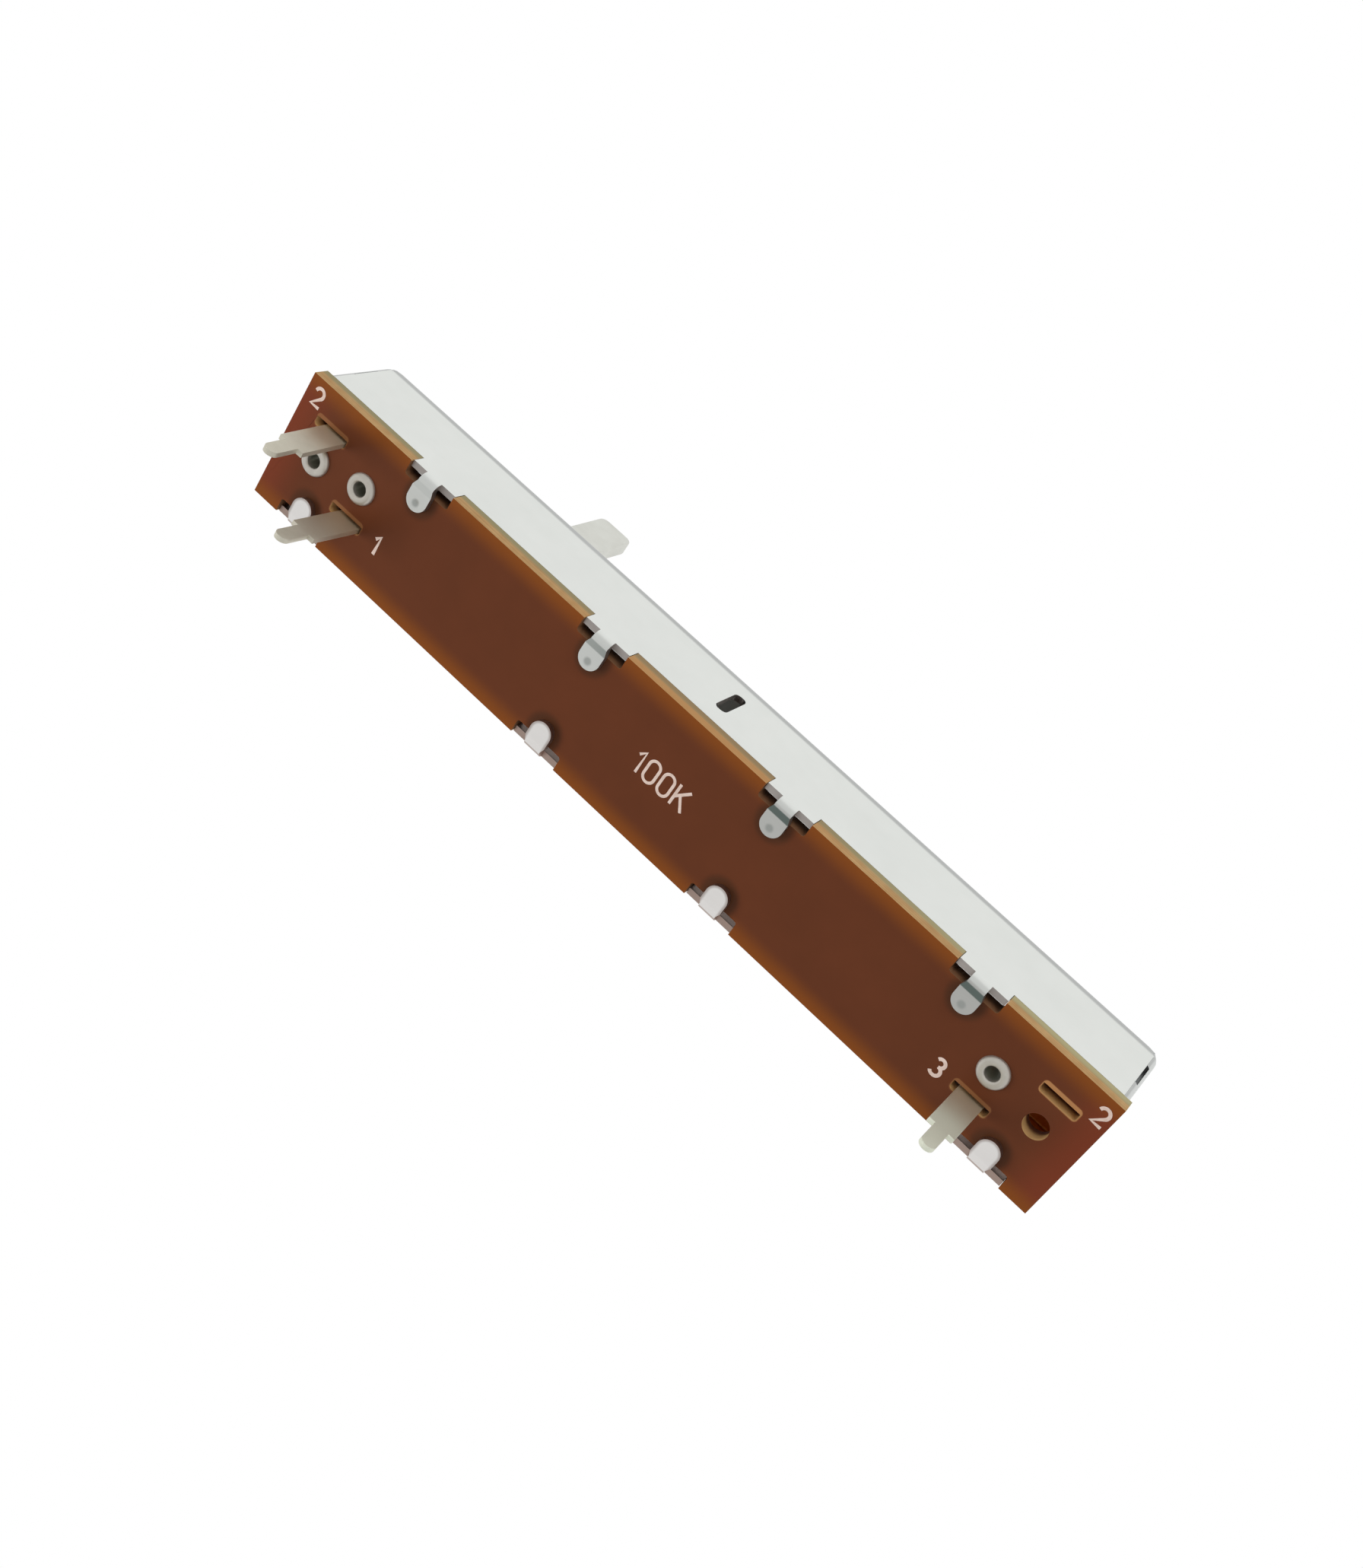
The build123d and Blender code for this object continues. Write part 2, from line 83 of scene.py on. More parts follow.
# %% [markdown]
# ## Copying a solid so that its edges can be worked
#
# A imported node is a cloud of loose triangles. Welding their corners gives one closed skin, and
# dissolving the flat joins between triangles gives back the large flat faces. Only then does a bevel
# know which edges are real. The edges of punched sheet are never knife sharp: a press leaves a small
# round, and that round is what catches the light along every rim.

# %% Helpers: welded copy, bevel of the real edges, mesh to object
WELD = mm(0.0005)
FLAT_JOIN = math.radians(0.3)


def make_whole(bm):
    """Welds the corners of loose triangles and dissolves the flat joins between them."""
    bmesh.ops.remove_doubles(bm, verts=bm.verts[:], dist=WELD)
    bmesh.ops.dissolve_limit(bm, angle_limit=FLAT_JOIN, verts=bm.verts[:], edges=bm.edges[:])


def close_up(bm, dist=WELD):
    """Welds doubled corners and turns every face outwards."""
    bmesh.ops.remove_doubles(bm, verts=bm.verts[:], dist=dist)
    bmesh.ops.recalc_face_normals(bm, faces=bm.faces[:])


def welded_copy(node):
    """A closed bmesh of a CAD node, with its flat faces whole again."""
    bm = bmesh.new()
    bm.from_mesh(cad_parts[node].data)
    make_whole(bm)
    return bm


def real_edges(bm, sharper_than=32):
    """The edges where two faces meet at more than that many degrees."""
    least = math.radians(sharper_than)
    return [e for e in bm.edges if e.is_manifold and e.calc_face_angle(0) > least]


def soften(bm, radius, segments=2, keep=lambda edge: True):
    """Rounds the real edges that `keep` chooses."""
    chosen = [e for e in real_edges(bm) if keep(e)]
    bmesh.ops.bevel(bm, geom=chosen, offset=radius, offset_type="OFFSET", segments=segments,
                    profile=0.5, affect="EDGES", material=-1, clamp_overlap=True)
    return len(chosen)


def object_from(bm, name, smooth_below=34):
    """Turns a bmesh into an object at the origin, smooth except across its sharp edges."""
    for face in bm.faces:
        face.smooth = True
    for edge in bm.edges:
        if edge.is_manifold and edge.calc_face_angle(0) > math.radians(smooth_below):
            edge.smooth = False
    mesh = bpy.data.meshes.new(name)
    bm.to_mesh(mesh)
    bm.free()
    piece = bpy.data.objects.new(name, mesh)
    bpy.context.scene.collection.objects.link(piece)
    flat = piece.modifiers.new("flat_faces_stay_flat", "WEIGHTED_NORMAL")
    flat.keep_sharp = True
    return piece


def dress(piece, body, slot, *replaced):
    """Hangs a piece on the empty of its body and hides the nodes that it stands for; the slot is not used."""
    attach(piece, body)
    if replaced:
        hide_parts(*replaced)
    return piece


# %% [markdown]
# ## Effects that several finishes share
#
# A node group is a small machine with named inputs and outputs. It is built once and placed in every
# material that needs it, each time with its own values. Three are enough here: one spreads two tones
# over a surface in soft clouds, one draws the fine lines that rolling leaves in sheet metal, and one
# gives the pebbled skin of a moulded or printed surface. Wear, stains and painted light and shade are
# masks: numbers from 0 to 1 that are worked out from the place on the object, so that they stay where
# they belong.

# %% Helpers for node trees
def new_group(name, inputs, outputs):
    """An empty node group with float, colour or vector sockets, and its two end nodes."""
    group = bpy.data.node_groups.new(name, "ShaderNodeTree")
    for label, kind, value in inputs:
        socket = group.interface.new_socket(name=label, in_out="INPUT", socket_type=kind)
        if value is not None:
            socket.default_value = value
    for label, kind in outputs:
        group.interface.new_socket(name=label, in_out="OUTPUT", socket_type=kind)
    return group, group.nodes.new("NodeGroupInput").outputs, group.nodes.new("NodeGroupOutput").inputs


def feed(socket, value):
    """Gives a socket what it needs: a link from another, a tone of three numbers, or a number."""
    if isinstance(value, bpy.types.NodeSocket):
        socket.id_data.links.new(value, socket)
    elif value is not None:
        socket.default_value = (*value, 1) if isinstance(value, tuple) else value


def put(tree, kind, inputs, **properties):
    """Adds a node, sets its properties by name and feeds its sockets."""
    node = tree.nodes.new(kind)
    for key, value in properties.items():
        setattr(node, key, value)
    for key, value in inputs.items():
        feed(node.inputs[key], value)
    return node


FLOAT, COLOUR, VECTOR = "NodeSocketFloat", "NodeSocketColor", "NodeSocketVector"


# %% Helpers: noise, arithmetic and mixes
# An input is a socket or a number. The new node goes into the tree of the socket that feeds it.
def noise(place, per_metre, detail, roughness=0.5):
    """Soft noise with that many clouds per metre."""
    return put(place.id_data, "ShaderNodeTexNoise", {"Vector": place, "Scale": per_metre, "Detail": detail,
                                                     "Roughness": roughness}).outputs["Fac"]


def maths(operation, first, second=None, clamped=False):
    """One Math node."""
    tree = (first if isinstance(first, bpy.types.NodeSocket) else second).id_data
    node = put(tree, "ShaderNodeMath", {0: first, 1: second}, operation=operation, use_clamp=clamped)
    return node.outputs[0]


def product(first, *others):
    """Masks multiplied together: high only where all of them are."""
    for other in others:
        first = maths("MULTIPLY", first, other)
    return first


def distance(first, second):
    """How far a place is from a point, from its offsets along two axes."""
    squares = [maths("MULTIPLY", offset, offset) for offset in (first, second)]
    return maths("SQRT", maths("ADD", *squares))


def blended(mask, first, second):
    """The first colour, going over to the second where the mask is high."""
    node = put(mask.id_data, "ShaderNodeMix", {"Factor": mask, 6: first, 7: second}, data_type="RGBA")
    return node.outputs[2]


def overlaid(colour, mask, tone, most=1.0):
    """A tone mixed over a colour where the mask is high, at most by that share."""
    return blended(maths("MULTIPLY", mask, most), colour, tone)


# %% Helpers: masks from places
def ramp(value, low, high):
    """A mask that rises smoothly from 0 at `low` to 1 at `high`, or falls where low is the larger."""
    start, end = (0.0, 1.0) if low < high else (1.0, 0.0)
    limits = {"From Min": min(low, high), "From Max": max(low, high), "To Min": start, "To Max": end}
    node = put(value.id_data, "ShaderNodeMapRange", {"Value": value, **limits},
               interpolation_type="SMOOTHSTEP")
    return node.outputs[0]


def band(value, begun, full, fading, ended):
    """A mask that is 1 from `full` to `fading` and falls to 0 on either side."""
    return product(ramp(value, begun, full), ramp(value, ended, fading))


def places(tree):
    """The object's own coordinates in a finish, and the distances along and across from its middle."""
    whole = next(n for n in tree.nodes if n.bl_idname == "ShaderNodeTexCoord").outputs["Object"]
    x, y, z = put(tree, "ShaderNodeSeparateXYZ", {0: whole}).outputs
    along, across = maths("ABSOLUTE", x), maths("ABSOLUTE", y)
    return SimpleNamespace(whole=whole, x=x, y=y, z=z, along=along, across=across)


# %% [markdown]
# ### Soft clouds of two tones
#
# No real surface has one colour. Lacquer pools, tin plate crystallises, ink dries unevenly. A low
# noise mixes two near tones, and the sizes of the clouds are given in clouds per metre.

# %% Node group: two tones
def build_two_tones():
    """Mixes two tones by a noise; the contrast widens the noise about its middle."""
    group, given, out = new_group(
        "two_tones",
        [("Place", VECTOR, None), ("Light Tone", COLOUR, None), ("Dark Tone", COLOUR, None),
         ("Clouds", FLOAT, 400.0), ("Contrast", FLOAT, 0.5)],
        [("Colour", COLOUR)])
    centred = maths("SUBTRACT", noise(given["Place"], given["Clouds"], 4.0, 0.55), 0.5)
    mask = maths("ADD", maths("MULTIPLY", centred, given["Contrast"]), 0.5, clamped=True)
    feed(out["Colour"], blended(mask, given["Light Tone"], given["Dark Tone"]))
    return group


two_tones = build_two_tones()
print("group:", two_tones.name)

# %% [markdown]
# ### Rolling lines
#
# Sheet is rolled, so it carries very fine lines along its length. A noise squeezed across the rolling
# direction and stretched along it draws them. They change how rough the surface is and tilt its
# normal a little, and both make long soft reflections.

# %% Node group: rolled sheet
def surface_group(name, fineness):
    """A group for a surface, with its range of roughness, its relief and how fine its pattern is."""
    return new_group(name, [("Place", VECTOR, None), (fineness, FLOAT, 9000.0), ("Smooth", FLOAT, 0.3),
                            ("Rough", FLOAT, 0.5), ("Relief", FLOAT, 0.1)],
                     [("Roughness", FLOAT), ("Normal", VECTOR)])


def send_surface(group, given, out, spread, height, depth):
    """Puts out a roughness between the two limits, and a normal tilted by the height."""
    rough = put(group, "ShaderNodeMapRange",
                {"Value": spread, "To Min": given["Smooth"], "To Max": given["Rough"]})
    bump = put(group, "ShaderNodeBump", {"Height": height, "Strength": given["Relief"], "Distance": depth})
    feed(out["Roughness"], rough.outputs[0])
    feed(out["Normal"], bump.outputs[0])


def build_rolled_sheet():
    """Lines along X that come and go in blotches."""
    group, given, out = surface_group("rolled_sheet", "Lines")
    stretched = put(group, "ShaderNodeMapping", {"Vector": given["Place"]})
    stretched.inputs["Scale"].default_value = (0.03, 1.0, 1.0)
    lines = noise(stretched.outputs[0], given["Lines"], 3.0, 0.6)
    blotches = noise(given["Place"], 700.0, 3.0)
    both = maths("MULTIPLY", lines, blotches, clamped=True)
    send_surface(group, given, out, maths("MULTIPLY", both, 2.0, clamped=True), lines, mm(0.01))
    return group


rolled_sheet = build_rolled_sheet()
print("group:", rolled_sheet.name)

# %% [markdown]
# ### Pebbled skin
#
# A mould cut by sparks, a screen print and a lacquer over paper all have a fine pebbled skin. Only
# the size of the pebbles and their height differ.

# %% Node group: pebbled skin
def build_pebbled_skin():
    """One noise for both the roughness and the relief."""
    group, given, out = surface_group("pebbled_skin", "Pebbles")
    fine = noise(given["Place"], given["Pebbles"], 3.0, 0.6)
    send_surface(group, given, out, fine, fine, mm(0.02))
    return group


pebbled_skin = build_pebbled_skin()
print("group:", pebbled_skin.name)


# %% Helpers: a new finish, and the shared groups placed in it
def new_finish(name):
    """A material with its Principled shader and the object's own coordinates."""
    finish = bpy.data.materials.new(name)
    finish.use_nodes = True
    nodes = finish.node_tree.nodes
    return finish, nodes["Principled BSDF"], nodes.new("ShaderNodeTexCoord").outputs["Object"]


def place_group(group, place, **values):
    """Puts a shared group in a material and feeds its inputs by name."""
    node = place.id_data.nodes.new("ShaderNodeGroup")
    node.node_tree = group
    feed(node.inputs["Place"], place)
    for key, value in values.items():
        feed(node.inputs[key.replace("_", " ")], value)
    return node


def toned(place, light, dark, clouds, contrast):
    """The colour of two tones in clouds."""
    return place_group(two_tones, place, Light_Tone=light, Dark_Tone=dark, Clouds=clouds,
                       Contrast=contrast).outputs["Colour"]


def join_surface(shader, colour, surface):
    """Feeds a colour, and a surface group's roughness and normal, to the shader."""
    feed(shader.inputs["Base Color"], colour)
    for name in ("Roughness", "Normal"):
        feed(shader.inputs[name], surface.outputs[name])


def faint_light(mask, tone):
    """A faint emission where the mask is high, for the light that gets into the case."""
    shader = mask.id_data.nodes["Principled BSDF"]
    feed(shader.inputs["Emission Color"], blended(mask, (0, 0, 0), tone))
    shader.inputs["Emission Strength"].default_value = 1.0


# %% [markdown]
# ## Metal finishes
#
# Every metal here is sheet or strip with a plated skin, so one recipe serves: two close tones in soft
# clouds for the plating, and rolling lines for the sheen. Only the tones and the roughness change.
# Metals take their colour from what they mirror, so the tones are written as the metal's own.

# %% Plated metals
def toned_finish(name, surface, light, dark, clouds, contrast, metallic=0.0, **values):
    """Two near tones in clouds over one of the shared surfaces."""
    finish, shader, place = new_finish(name)
    join_surface(shader, toned(place, light, dark, clouds, contrast), place_group(surface, place, **values))
    shader.inputs["Metallic"].default_value = metallic
    return finish


tin_plate = toned_finish("tin_plate", rolled_sheet, (0.77, 0.785, 0.755), (0.71, 0.73, 0.70), metallic=1.0,
                         clouds=160, contrast=1.2, Lines=9000, Smooth=0.30, Rough=0.42, Relief=0.05)
sheared_steel = toned_finish("sheared_steel", rolled_sheet, (0.56, 0.52, 0.49), (0.43, 0.395, 0.37),
                             metallic=1.0, clouds=700, contrast=1.2, Lines=16000, Smooth=0.45, Rough=0.60,
                             Relief=0.05)
blade_tin = toned_finish("blade_tin", rolled_sheet, (0.725, 0.70, 0.597), (0.58, 0.547, 0.443), metallic=0.6,
                         clouds=500, contrast=1.6, Lines=12000, Smooth=0.42, Rough=0.58, Relief=0.08)
eyelet_tin = toned_finish("eyelet_tin", rolled_sheet, (0.68, 0.645, 0.585), (0.54, 0.51, 0.45), metallic=0.8,
                          clouds=900, contrast=1.6, Lines=14000, Smooth=0.38, Rough=0.52, Relief=0.05)
lever_zinc = toned_finish("lever_zinc", rolled_sheet, (0.72, 0.73, 0.68), (0.62, 0.62, 0.57), metallic=1.0,
                          clouds=500, contrast=1.4, Lines=11000, Smooth=0.34, Rough=0.50, Relief=0.08)
spring_bronze = toned_finish("spring_bronze", rolled_sheet, (0.76, 0.47, 0.24), (0.62, 0.36, 0.17),
                             metallic=1.0, clouds=800, contrast=1.4, Lines=12000, Smooth=0.22, Rough=0.36,
                             Relief=0.06)
metals = (tin_plate, sheared_steel, blade_tin, eyelet_tin, lever_zinc, spring_bronze)
print("metals:", [finish.name for finish in metals])

# %% [markdown]
# ### Where the metal is worn, and where light and shade are painted
#
# Painted shade darkens the case's outer edges, the ends' corners and the rear notches. Painted shade lies
# in the crease of every front tab, stronger towards the right, and the tool that closed the case left a
# round grey mark near the end of each. A painted sheen brightens the rear tabs, with painted shade at
# their rims, and painted shade greys the front tabs towards the right. Soldering flux stains the roots
# of the blades brown, the blades are painted lighter towards the right with painted shade on blade 1,
# and a bore gets painted shade inside its rim. Each kind of wear and of painted light and shade is a
# function that lays one or more tones over the colour so far.
#
# Two more things are seen only through openings. A little light gets in round the window and falls on
# the underside of the top face. Over the board's spare hole the inner skin looks brown, because what
# light it has came through the board.

# %% Where the tabs are
FRONT_TAB_XS = (mm(8.5), mm(25.5))
REAR_TAB_XS = (mm(8.5), mm(33.05))
TAB_END_Y = mm(2.65)                         # |y| of a tab's rounded end
HEAD_CENTRE_Y, HEAD_R = mm(3.55), mm(0.9)
CREASE_Y = (mm(4.33), mm(4.78))
MARK_Y = -(TAB_END_Y + mm(0.62))             # middle of the round mark in a front tab
print("tabs at x, mm:", [round(x * 1000, 2) for x in FRONT_TAB_XS + REAR_TAB_XS])


def lay_wear_and_light(finish, *overlays):
    """Lays tones over a finish, for real marks and for painted light and shade alike: each function gets the
    places and the colour so far.
    """
    base = finish.node_tree.nodes["Principled BSDF"].inputs["Base Color"]
    colour = base.links[0].from_socket
    at = places(finish.node_tree)
    for overlay in overlays:
        colour = overlay(at, colour)
    feed(base, colour)


def gap_to(value, middles):
    """The distance along one axis to the nearest of two places."""
    gaps = [maths("ABSOLUTE", maths("SUBTRACT", value, middle)) for middle in middles]
    return maths("MINIMUM", *gaps)


def from_head(at, beside):
    """The distance from the middle of a tab's head, from the offset beside it."""
    inward = maths("SUBTRACT", HEAD_CENTRE_Y, at.across)
    return distance(beside, maths("MAXIMUM", inward, 0.0))


# %% Painted sheen and shade of the tabs, and their punch marks
# Painted sheen on the rear tabs, and painted shade on the front tabs and at the rear tabs' rims.
PAINTED_SHEEN, FRONT_TAB_SHADE, HEAD_RIM_SHADE = (0.97, 0.94, 0.915), (0.53, 0.53, 0.505), (0.50, 0.44, 0.41)
# Painted shade in the front tabs' creases, and the grey of the punch marks.
PAINTED_CREASE_SHADE, PUNCH_MARK = (0.15, 0.185, 0.17), (0.36, 0.38, 0.36)


def tab_faces(at):
    """Masks of the outer faces of the front tabs and of the rear tabs."""
    low = ramp(at.z, TAB_FACE_Z + mm(0.20), TAB_FACE_Z + mm(0.12))
    return [product(low, maths(side, at.y, 0.0)) for side in ("LESS_THAN", "GREATER_THAN")]


def sheen_of_tabs(at, colour):
    """A painted sheen brightens the rear tabs, with painted shade at their rims; painted shade greys the
    front tabs towards the right.
    """
    front, rear = tab_faces(at)
    bright = overlaid(colour, rear, PAINTED_SHEEN, 0.9)
    front_shade = product(front, ramp(at.x, mm(-16), mm(20)))
    away = from_head(at, gap_to(at.along, REAR_TAB_XS))
    rim = product(rear, ramp(away, HEAD_R - mm(0.26), HEAD_R - mm(0.04)))
    return overlaid(overlaid(bright, front_shade, FRONT_TAB_SHADE, 0.9), rim, HEAD_RIM_SHADE, 0.85)


def creases_and_marks(at, colour):
    """Painted shade in the creases, stronger towards the right, and the round marks near the tabs' ends."""
    front, _ = tab_faces(at)
    crease = band(at.across, CREASE_Y[0] - mm(0.08), CREASE_Y[0] + mm(0.03),
                  CREASE_Y[1] - mm(0.06), CREASE_Y[1] + mm(0.05))
    strength = maths("ADD", ramp(at.x, mm(-22), mm(8)), 0.12)
    shaded_crease = maths("MINIMUM", product(crease, front, strength), 1.0)
    away = distance(gap_to(at.along, FRONT_TAB_XS), maths("SUBTRACT", at.y, MARK_Y))
    mark = product(ramp(away, mm(0.42), mm(0.16)), front)
    return overlaid(overlaid(colour, shaded_crease, PAINTED_CREASE_SHADE), mark, PUNCH_MARK, 0.75)


# %% Painted shade of the case's corners and rear notches, and what light does inside it
# Painted shade in the rear notches, at the ends' corners and along the outermost edges.
REAR_NOTCH_SHADE, END_CORNER_SHADE, OUTER_EDGE_SHADE = (0.40, 0.29, 0.25), (0.60, 0.615, 0.60), (0.46, 0.47, 0.46)
THROUGH_BOARD, FAINT_WHITE = (0.75, 0.32, 0.03), (0.030, 0.034, 0.032)
SIDE_Y = case_high.y
INSIDE_TOP_Z = (mm(-0.49), mm(-0.46))        # where the masks of the inner skin end below the top face


def shade_corners_and_notches(at, colour):
    """Painted brown shade in the rear notches, then painted shade at the ends' corners and along the
    outermost edges.
    """
    _, rear = tab_faces(at)
    behind = product(ramp(at.z, mm(-7.85), mm(-8.0)), maths("GREATER_THAN", at.y, 0.0))
    notch = product(maths("SUBTRACT", behind, rear), ramp(at.across, SIDE_Y - mm(0.12), SIDE_Y - mm(0.22)))
    end_corner = product(ramp(at.along, CASE_HALF_L - mm(0.50), CASE_HALF_L - mm(0.42)),
                         ramp(at.across, SIDE_Y - mm(0.60), SIDE_Y - mm(0.30)))
    top_or_end = maths("MAXIMUM", ramp(at.z, mm(-1.20), mm(-0.85)),
                       ramp(at.along, CASE_HALF_L - mm(0.56), CASE_HALF_L - mm(0.44)))
    outermost = product(ramp(at.across, SIDE_Y - mm(0.14), SIDE_Y - mm(0.06)), top_or_end)
    notch_shaded = overlaid(colour, notch, REAR_NOTCH_SHADE, 0.85)
    return overlaid(overlaid(notch_shaded, end_corner, END_CORNER_SHADE, 0.9), outermost, OUTER_EDGE_SHADE)


def brown_over_hole(at, colour):
    """The inner skin over the spare hole."""
    over_hole = band(at.x, mm(29.5), mm(31.0), mm(36.4), mm(36.6))
    inside = product(ramp(at.across, mm(4.93), mm(4.88)), ramp(at.y, mm(1.75), mm(1.95)))
    height = band(at.z, mm(-7.80), mm(-7.70), *INSIDE_TOP_Z)
    return overlaid(colour, product(over_hole, inside, height), THROUGH_BOARD, 0.9)


def light_under_top(at):
    """The underside of the top face near the window."""
    height = band(at.z, mm(-1.6), mm(-0.9), *INSIDE_TOP_Z)
    near = product(ramp(at.along, mm(5.0), mm(2.5)), ramp(at.across, mm(4.8), mm(4.5)))
    faint_light(product(height, near), FAINT_WHITE)


lay_wear_and_light(tin_plate, sheen_of_tabs, shade_corners_and_notches, creases_and_marks, brown_over_hole)
light_under_top(places(tin_plate.node_tree))
print("worn:", tin_plate.name)

# %% Painted shade in the slits and brown shoulders, flux stains and painted light and shade on the blades, painted shade in the bores
# Painted shade inside the corner slits, and the brown of the rear shoulders.
SLIT_SHADE, BROWN_SHOULDER = (0.30, 0.31, 0.31), (0.50, 0.36, 0.30)
# Painted light on the blades towards the right, painted shade on blade 1, and the brown of flux at the roots.
PAINTED_LIGHT_BLADE, BLADE_ONE_SHADE, FLUX = (0.88, 0.92, 0.77), (0.44, 0.35, 0.26), (0.62, 0.475, 0.30)
# Painted shade inside the bores.
IN_BORE = (0.50, 0.50, 0.42)


def slit_shade_and_brown_shoulders(at, colour):
    """The narrow reliefs at the corners get painted shade inside, and the rear shoulders of the tabs a brown
    tint.
    """
    corner = product(ramp(at.along, CASE_HALF_L - mm(1.0), CASE_HALF_L - mm(0.9)),
                     ramp(at.across, mm(4.6), mm(4.7)))
    shoulder = product(ramp(at.z, mm(-7.7), mm(-7.9)), maths("GREATER_THAN", at.y, 0.0))
    return overlaid(overlaid(colour, corner, SLIT_SHADE), shoulder, BROWN_SHOULDER, 0.8)


def blade_stain_and_light(at, colour):
    """Blades are painted lighter towards the right and blade 1 gets painted shade; flux browns every root."""
    root = ramp(at.z, BOARD_FACE_Z - mm(4.2), BOARD_FACE_Z - mm(0.6))
    pale = product(ramp(at.x, mm(-10), mm(20)), maths("SUBTRACT", 1.0, root))
    blade_one_shaded = product(band(at.x, mm(-33), mm(-31), mm(-10), mm(0)),
                     ramp(at.z, BOARD_FACE_Z - mm(6.5), BOARD_FACE_Z - mm(2.5)))
    lighter = overlaid(colour, pale, PAINTED_LIGHT_BLADE, 0.75)
    return overlaid(overlaid(lighter, blade_one_shaded, BLADE_ONE_SHADE, 0.6), root, FLUX, 0.52)


def bore_shade(at, colour):
    """Painted shade: a bore is darker from the board's face inwards."""
    deep = ramp(at.z, BOARD_FACE_Z - mm(0.05), BOARD_FACE_Z + mm(0.25))
    return overlaid(colour, deep, IN_BORE)


for finish, overlay in ((sheared_steel, slit_shade_and_brown_shoulders), (blade_tin, blade_stain_and_light), (eyelet_tin, bore_shade)):
    lay_wear_and_light(finish, overlay)
    print("worn:", finish.name)

# %% [markdown]
# ## The board's face
#
# Phenolic board is paper soaked in resin and pressed. It is slightly translucent, so light that
# enters at a cut edge makes the face glow amber for about a millimetre next to it. The glow is worked
# out from the distance to the long edges and to the ends, all in the object's own coordinates. Under
# the glow lies a cloudy red-brown. Painted shade lies round the folded tabs, and the punch bruises the
# rim of every slot. On the inner face, light that has come through the board glows faintly near the ends.

# %% Masks on the board's face
SLOTS = ((mm(34.17), mm(-2.7)), (mm(29.9), mm(1.75)))     # |x| and y of the four slots' centres
SLOT_CORE = (mm(1.28), mm(0.23))                          # half length and width, less the corner radius
SLOT_CORNER_R = mm(0.25)


def shade_round_the_tabs(at):
    """A soft ring of painted shade on the lacquer round each folded tab."""
    gaps = {"A": gap_to(at.along, FRONT_TAB_XS), "B": gap_to(at.along, REAR_TAB_XS)}
    rear = maths("GREATER_THAN", at.y, 0.0)
    beside = put(rear.id_data, "ShaderNodeMix", {"Factor": rear, **gaps}).outputs[0]
    return ramp(from_head(at, beside), HEAD_R + mm(0.85), HEAD_R + mm(0.1))


def past(value, centre, half):
    """How far a place lies past the end of a span, and 0 inside it."""
    off = maths("ABSOLUTE", maths("SUBTRACT", value, centre))
    return maths("MAXIMUM", maths("SUBTRACT", off, half), 0.0)


def round_the_slots(at):
    """The bruised rim that the punch left on the face round each slot, strongest at the unused one."""
    rims = []
    for x, y in SLOTS:
        away = distance(past(at.along, x, SLOT_CORE[0]), past(at.y, y, SLOT_CORE[1]))
        rims.append(ramp(away, SLOT_CORNER_R + mm(0.10), SLOT_CORNER_R + mm(0.01)))
    at_right = maths("MULTIPLY", ramp(at.x, mm(31.8), mm(32.1)), 0.6)
    return product(maths("MAXIMUM", *rims), maths("ADD", at_right, 0.4))


# %% Lacquered phenolic face
# Painted shade round the tabs, laid under the glow and again over it.
TAB_SHADE_UNDER_GLOW, TAB_SHADE_OVER_GLOW = (0.062, 0.022, 0.010), (0.085, 0.030, 0.012)
RED_END, AMBER_SIDE = (0.185, 0.039, 0.0155), (0.225, 0.062, 0.0098)
BRUISED, GLOW_INSIDE = (0.46, 0.22, 0.085), (0.06, 0.011, 0.0018)


def board_face_finish():
    """Cloudy lacquer with the glow of the edges, the painted shade round the tabs and the bruises."""
    finish, shader, place = new_finish("phenolic_face")
    at = places(finish.node_tree)
    # The ring is the mask of the painted shade round the tabs.
    ring = shade_round_the_tabs(at)
    body = toned(place, (0.136, 0.038, 0.0142), (0.113, 0.0325, 0.0122), 260.0, 1.5)
    tab_shaded = overlaid(body, ring, TAB_SHADE_UNDER_GLOW, 0.8)
    near_end = ramp(at.along, BOARD_HALF_L - mm(3.5), BOARD_HALF_L)
    near_side = ramp(at.across, BOARD_HALF_W - mm(1.75), BOARD_HALF_W)
    glowing = overlaid(overlaid(tab_shaded, near_end, RED_END), near_side, AMBER_SIDE)
    ringed = overlaid(glowing, ring, TAB_SHADE_OVER_GLOW, 0.7)
    bruised = overlaid(ringed, round_the_slots(at), BRUISED, 0.9)
    join_surface(shader, bruised,
                 place_group(pebbled_skin, place, Pebbles=2600.0, Smooth=0.28, Rough=0.42, Relief=0.05))
    shader.inputs["Specular IOR Level"].default_value = 0.1
    inner_face = ramp(at.z, BOARD_INNER_Z - mm(0.10), BOARD_INNER_Z - mm(0.02))
    lit_end = band(at.along, mm(30), mm(33), CASE_HALF_L - mm(0.9), CASE_HALF_L - mm(0.6))
    inside = ramp(at.across, mm(4.7), mm(4.5))
    faint_light(product(inner_face, lit_end, inside), GLOW_INSIDE)
    return finish


phenolic_face = board_face_finish()
print("board face:", phenolic_face.name)

# %% [markdown]
# ## The board's cut edge
#
# Where the press sheared the board, the bare layers of paper show: tan, with thin darker lines that
# run level round the board, and a painted olive shade towards the inner face where the case shades it,
# painted lighter towards the right. The walls of the openings get painted dark red shade towards the
# inner face, and the walls of the notches painted dark shade.

# %% Sheared phenolic edge
NOTCH_FLOOR_Y = mm(4.23)     # |y| of the bottom of a notch
LAYER_LINE, RESINOUS = (0.30, 0.15, 0.055), (0.54, 0.27, 0.095)
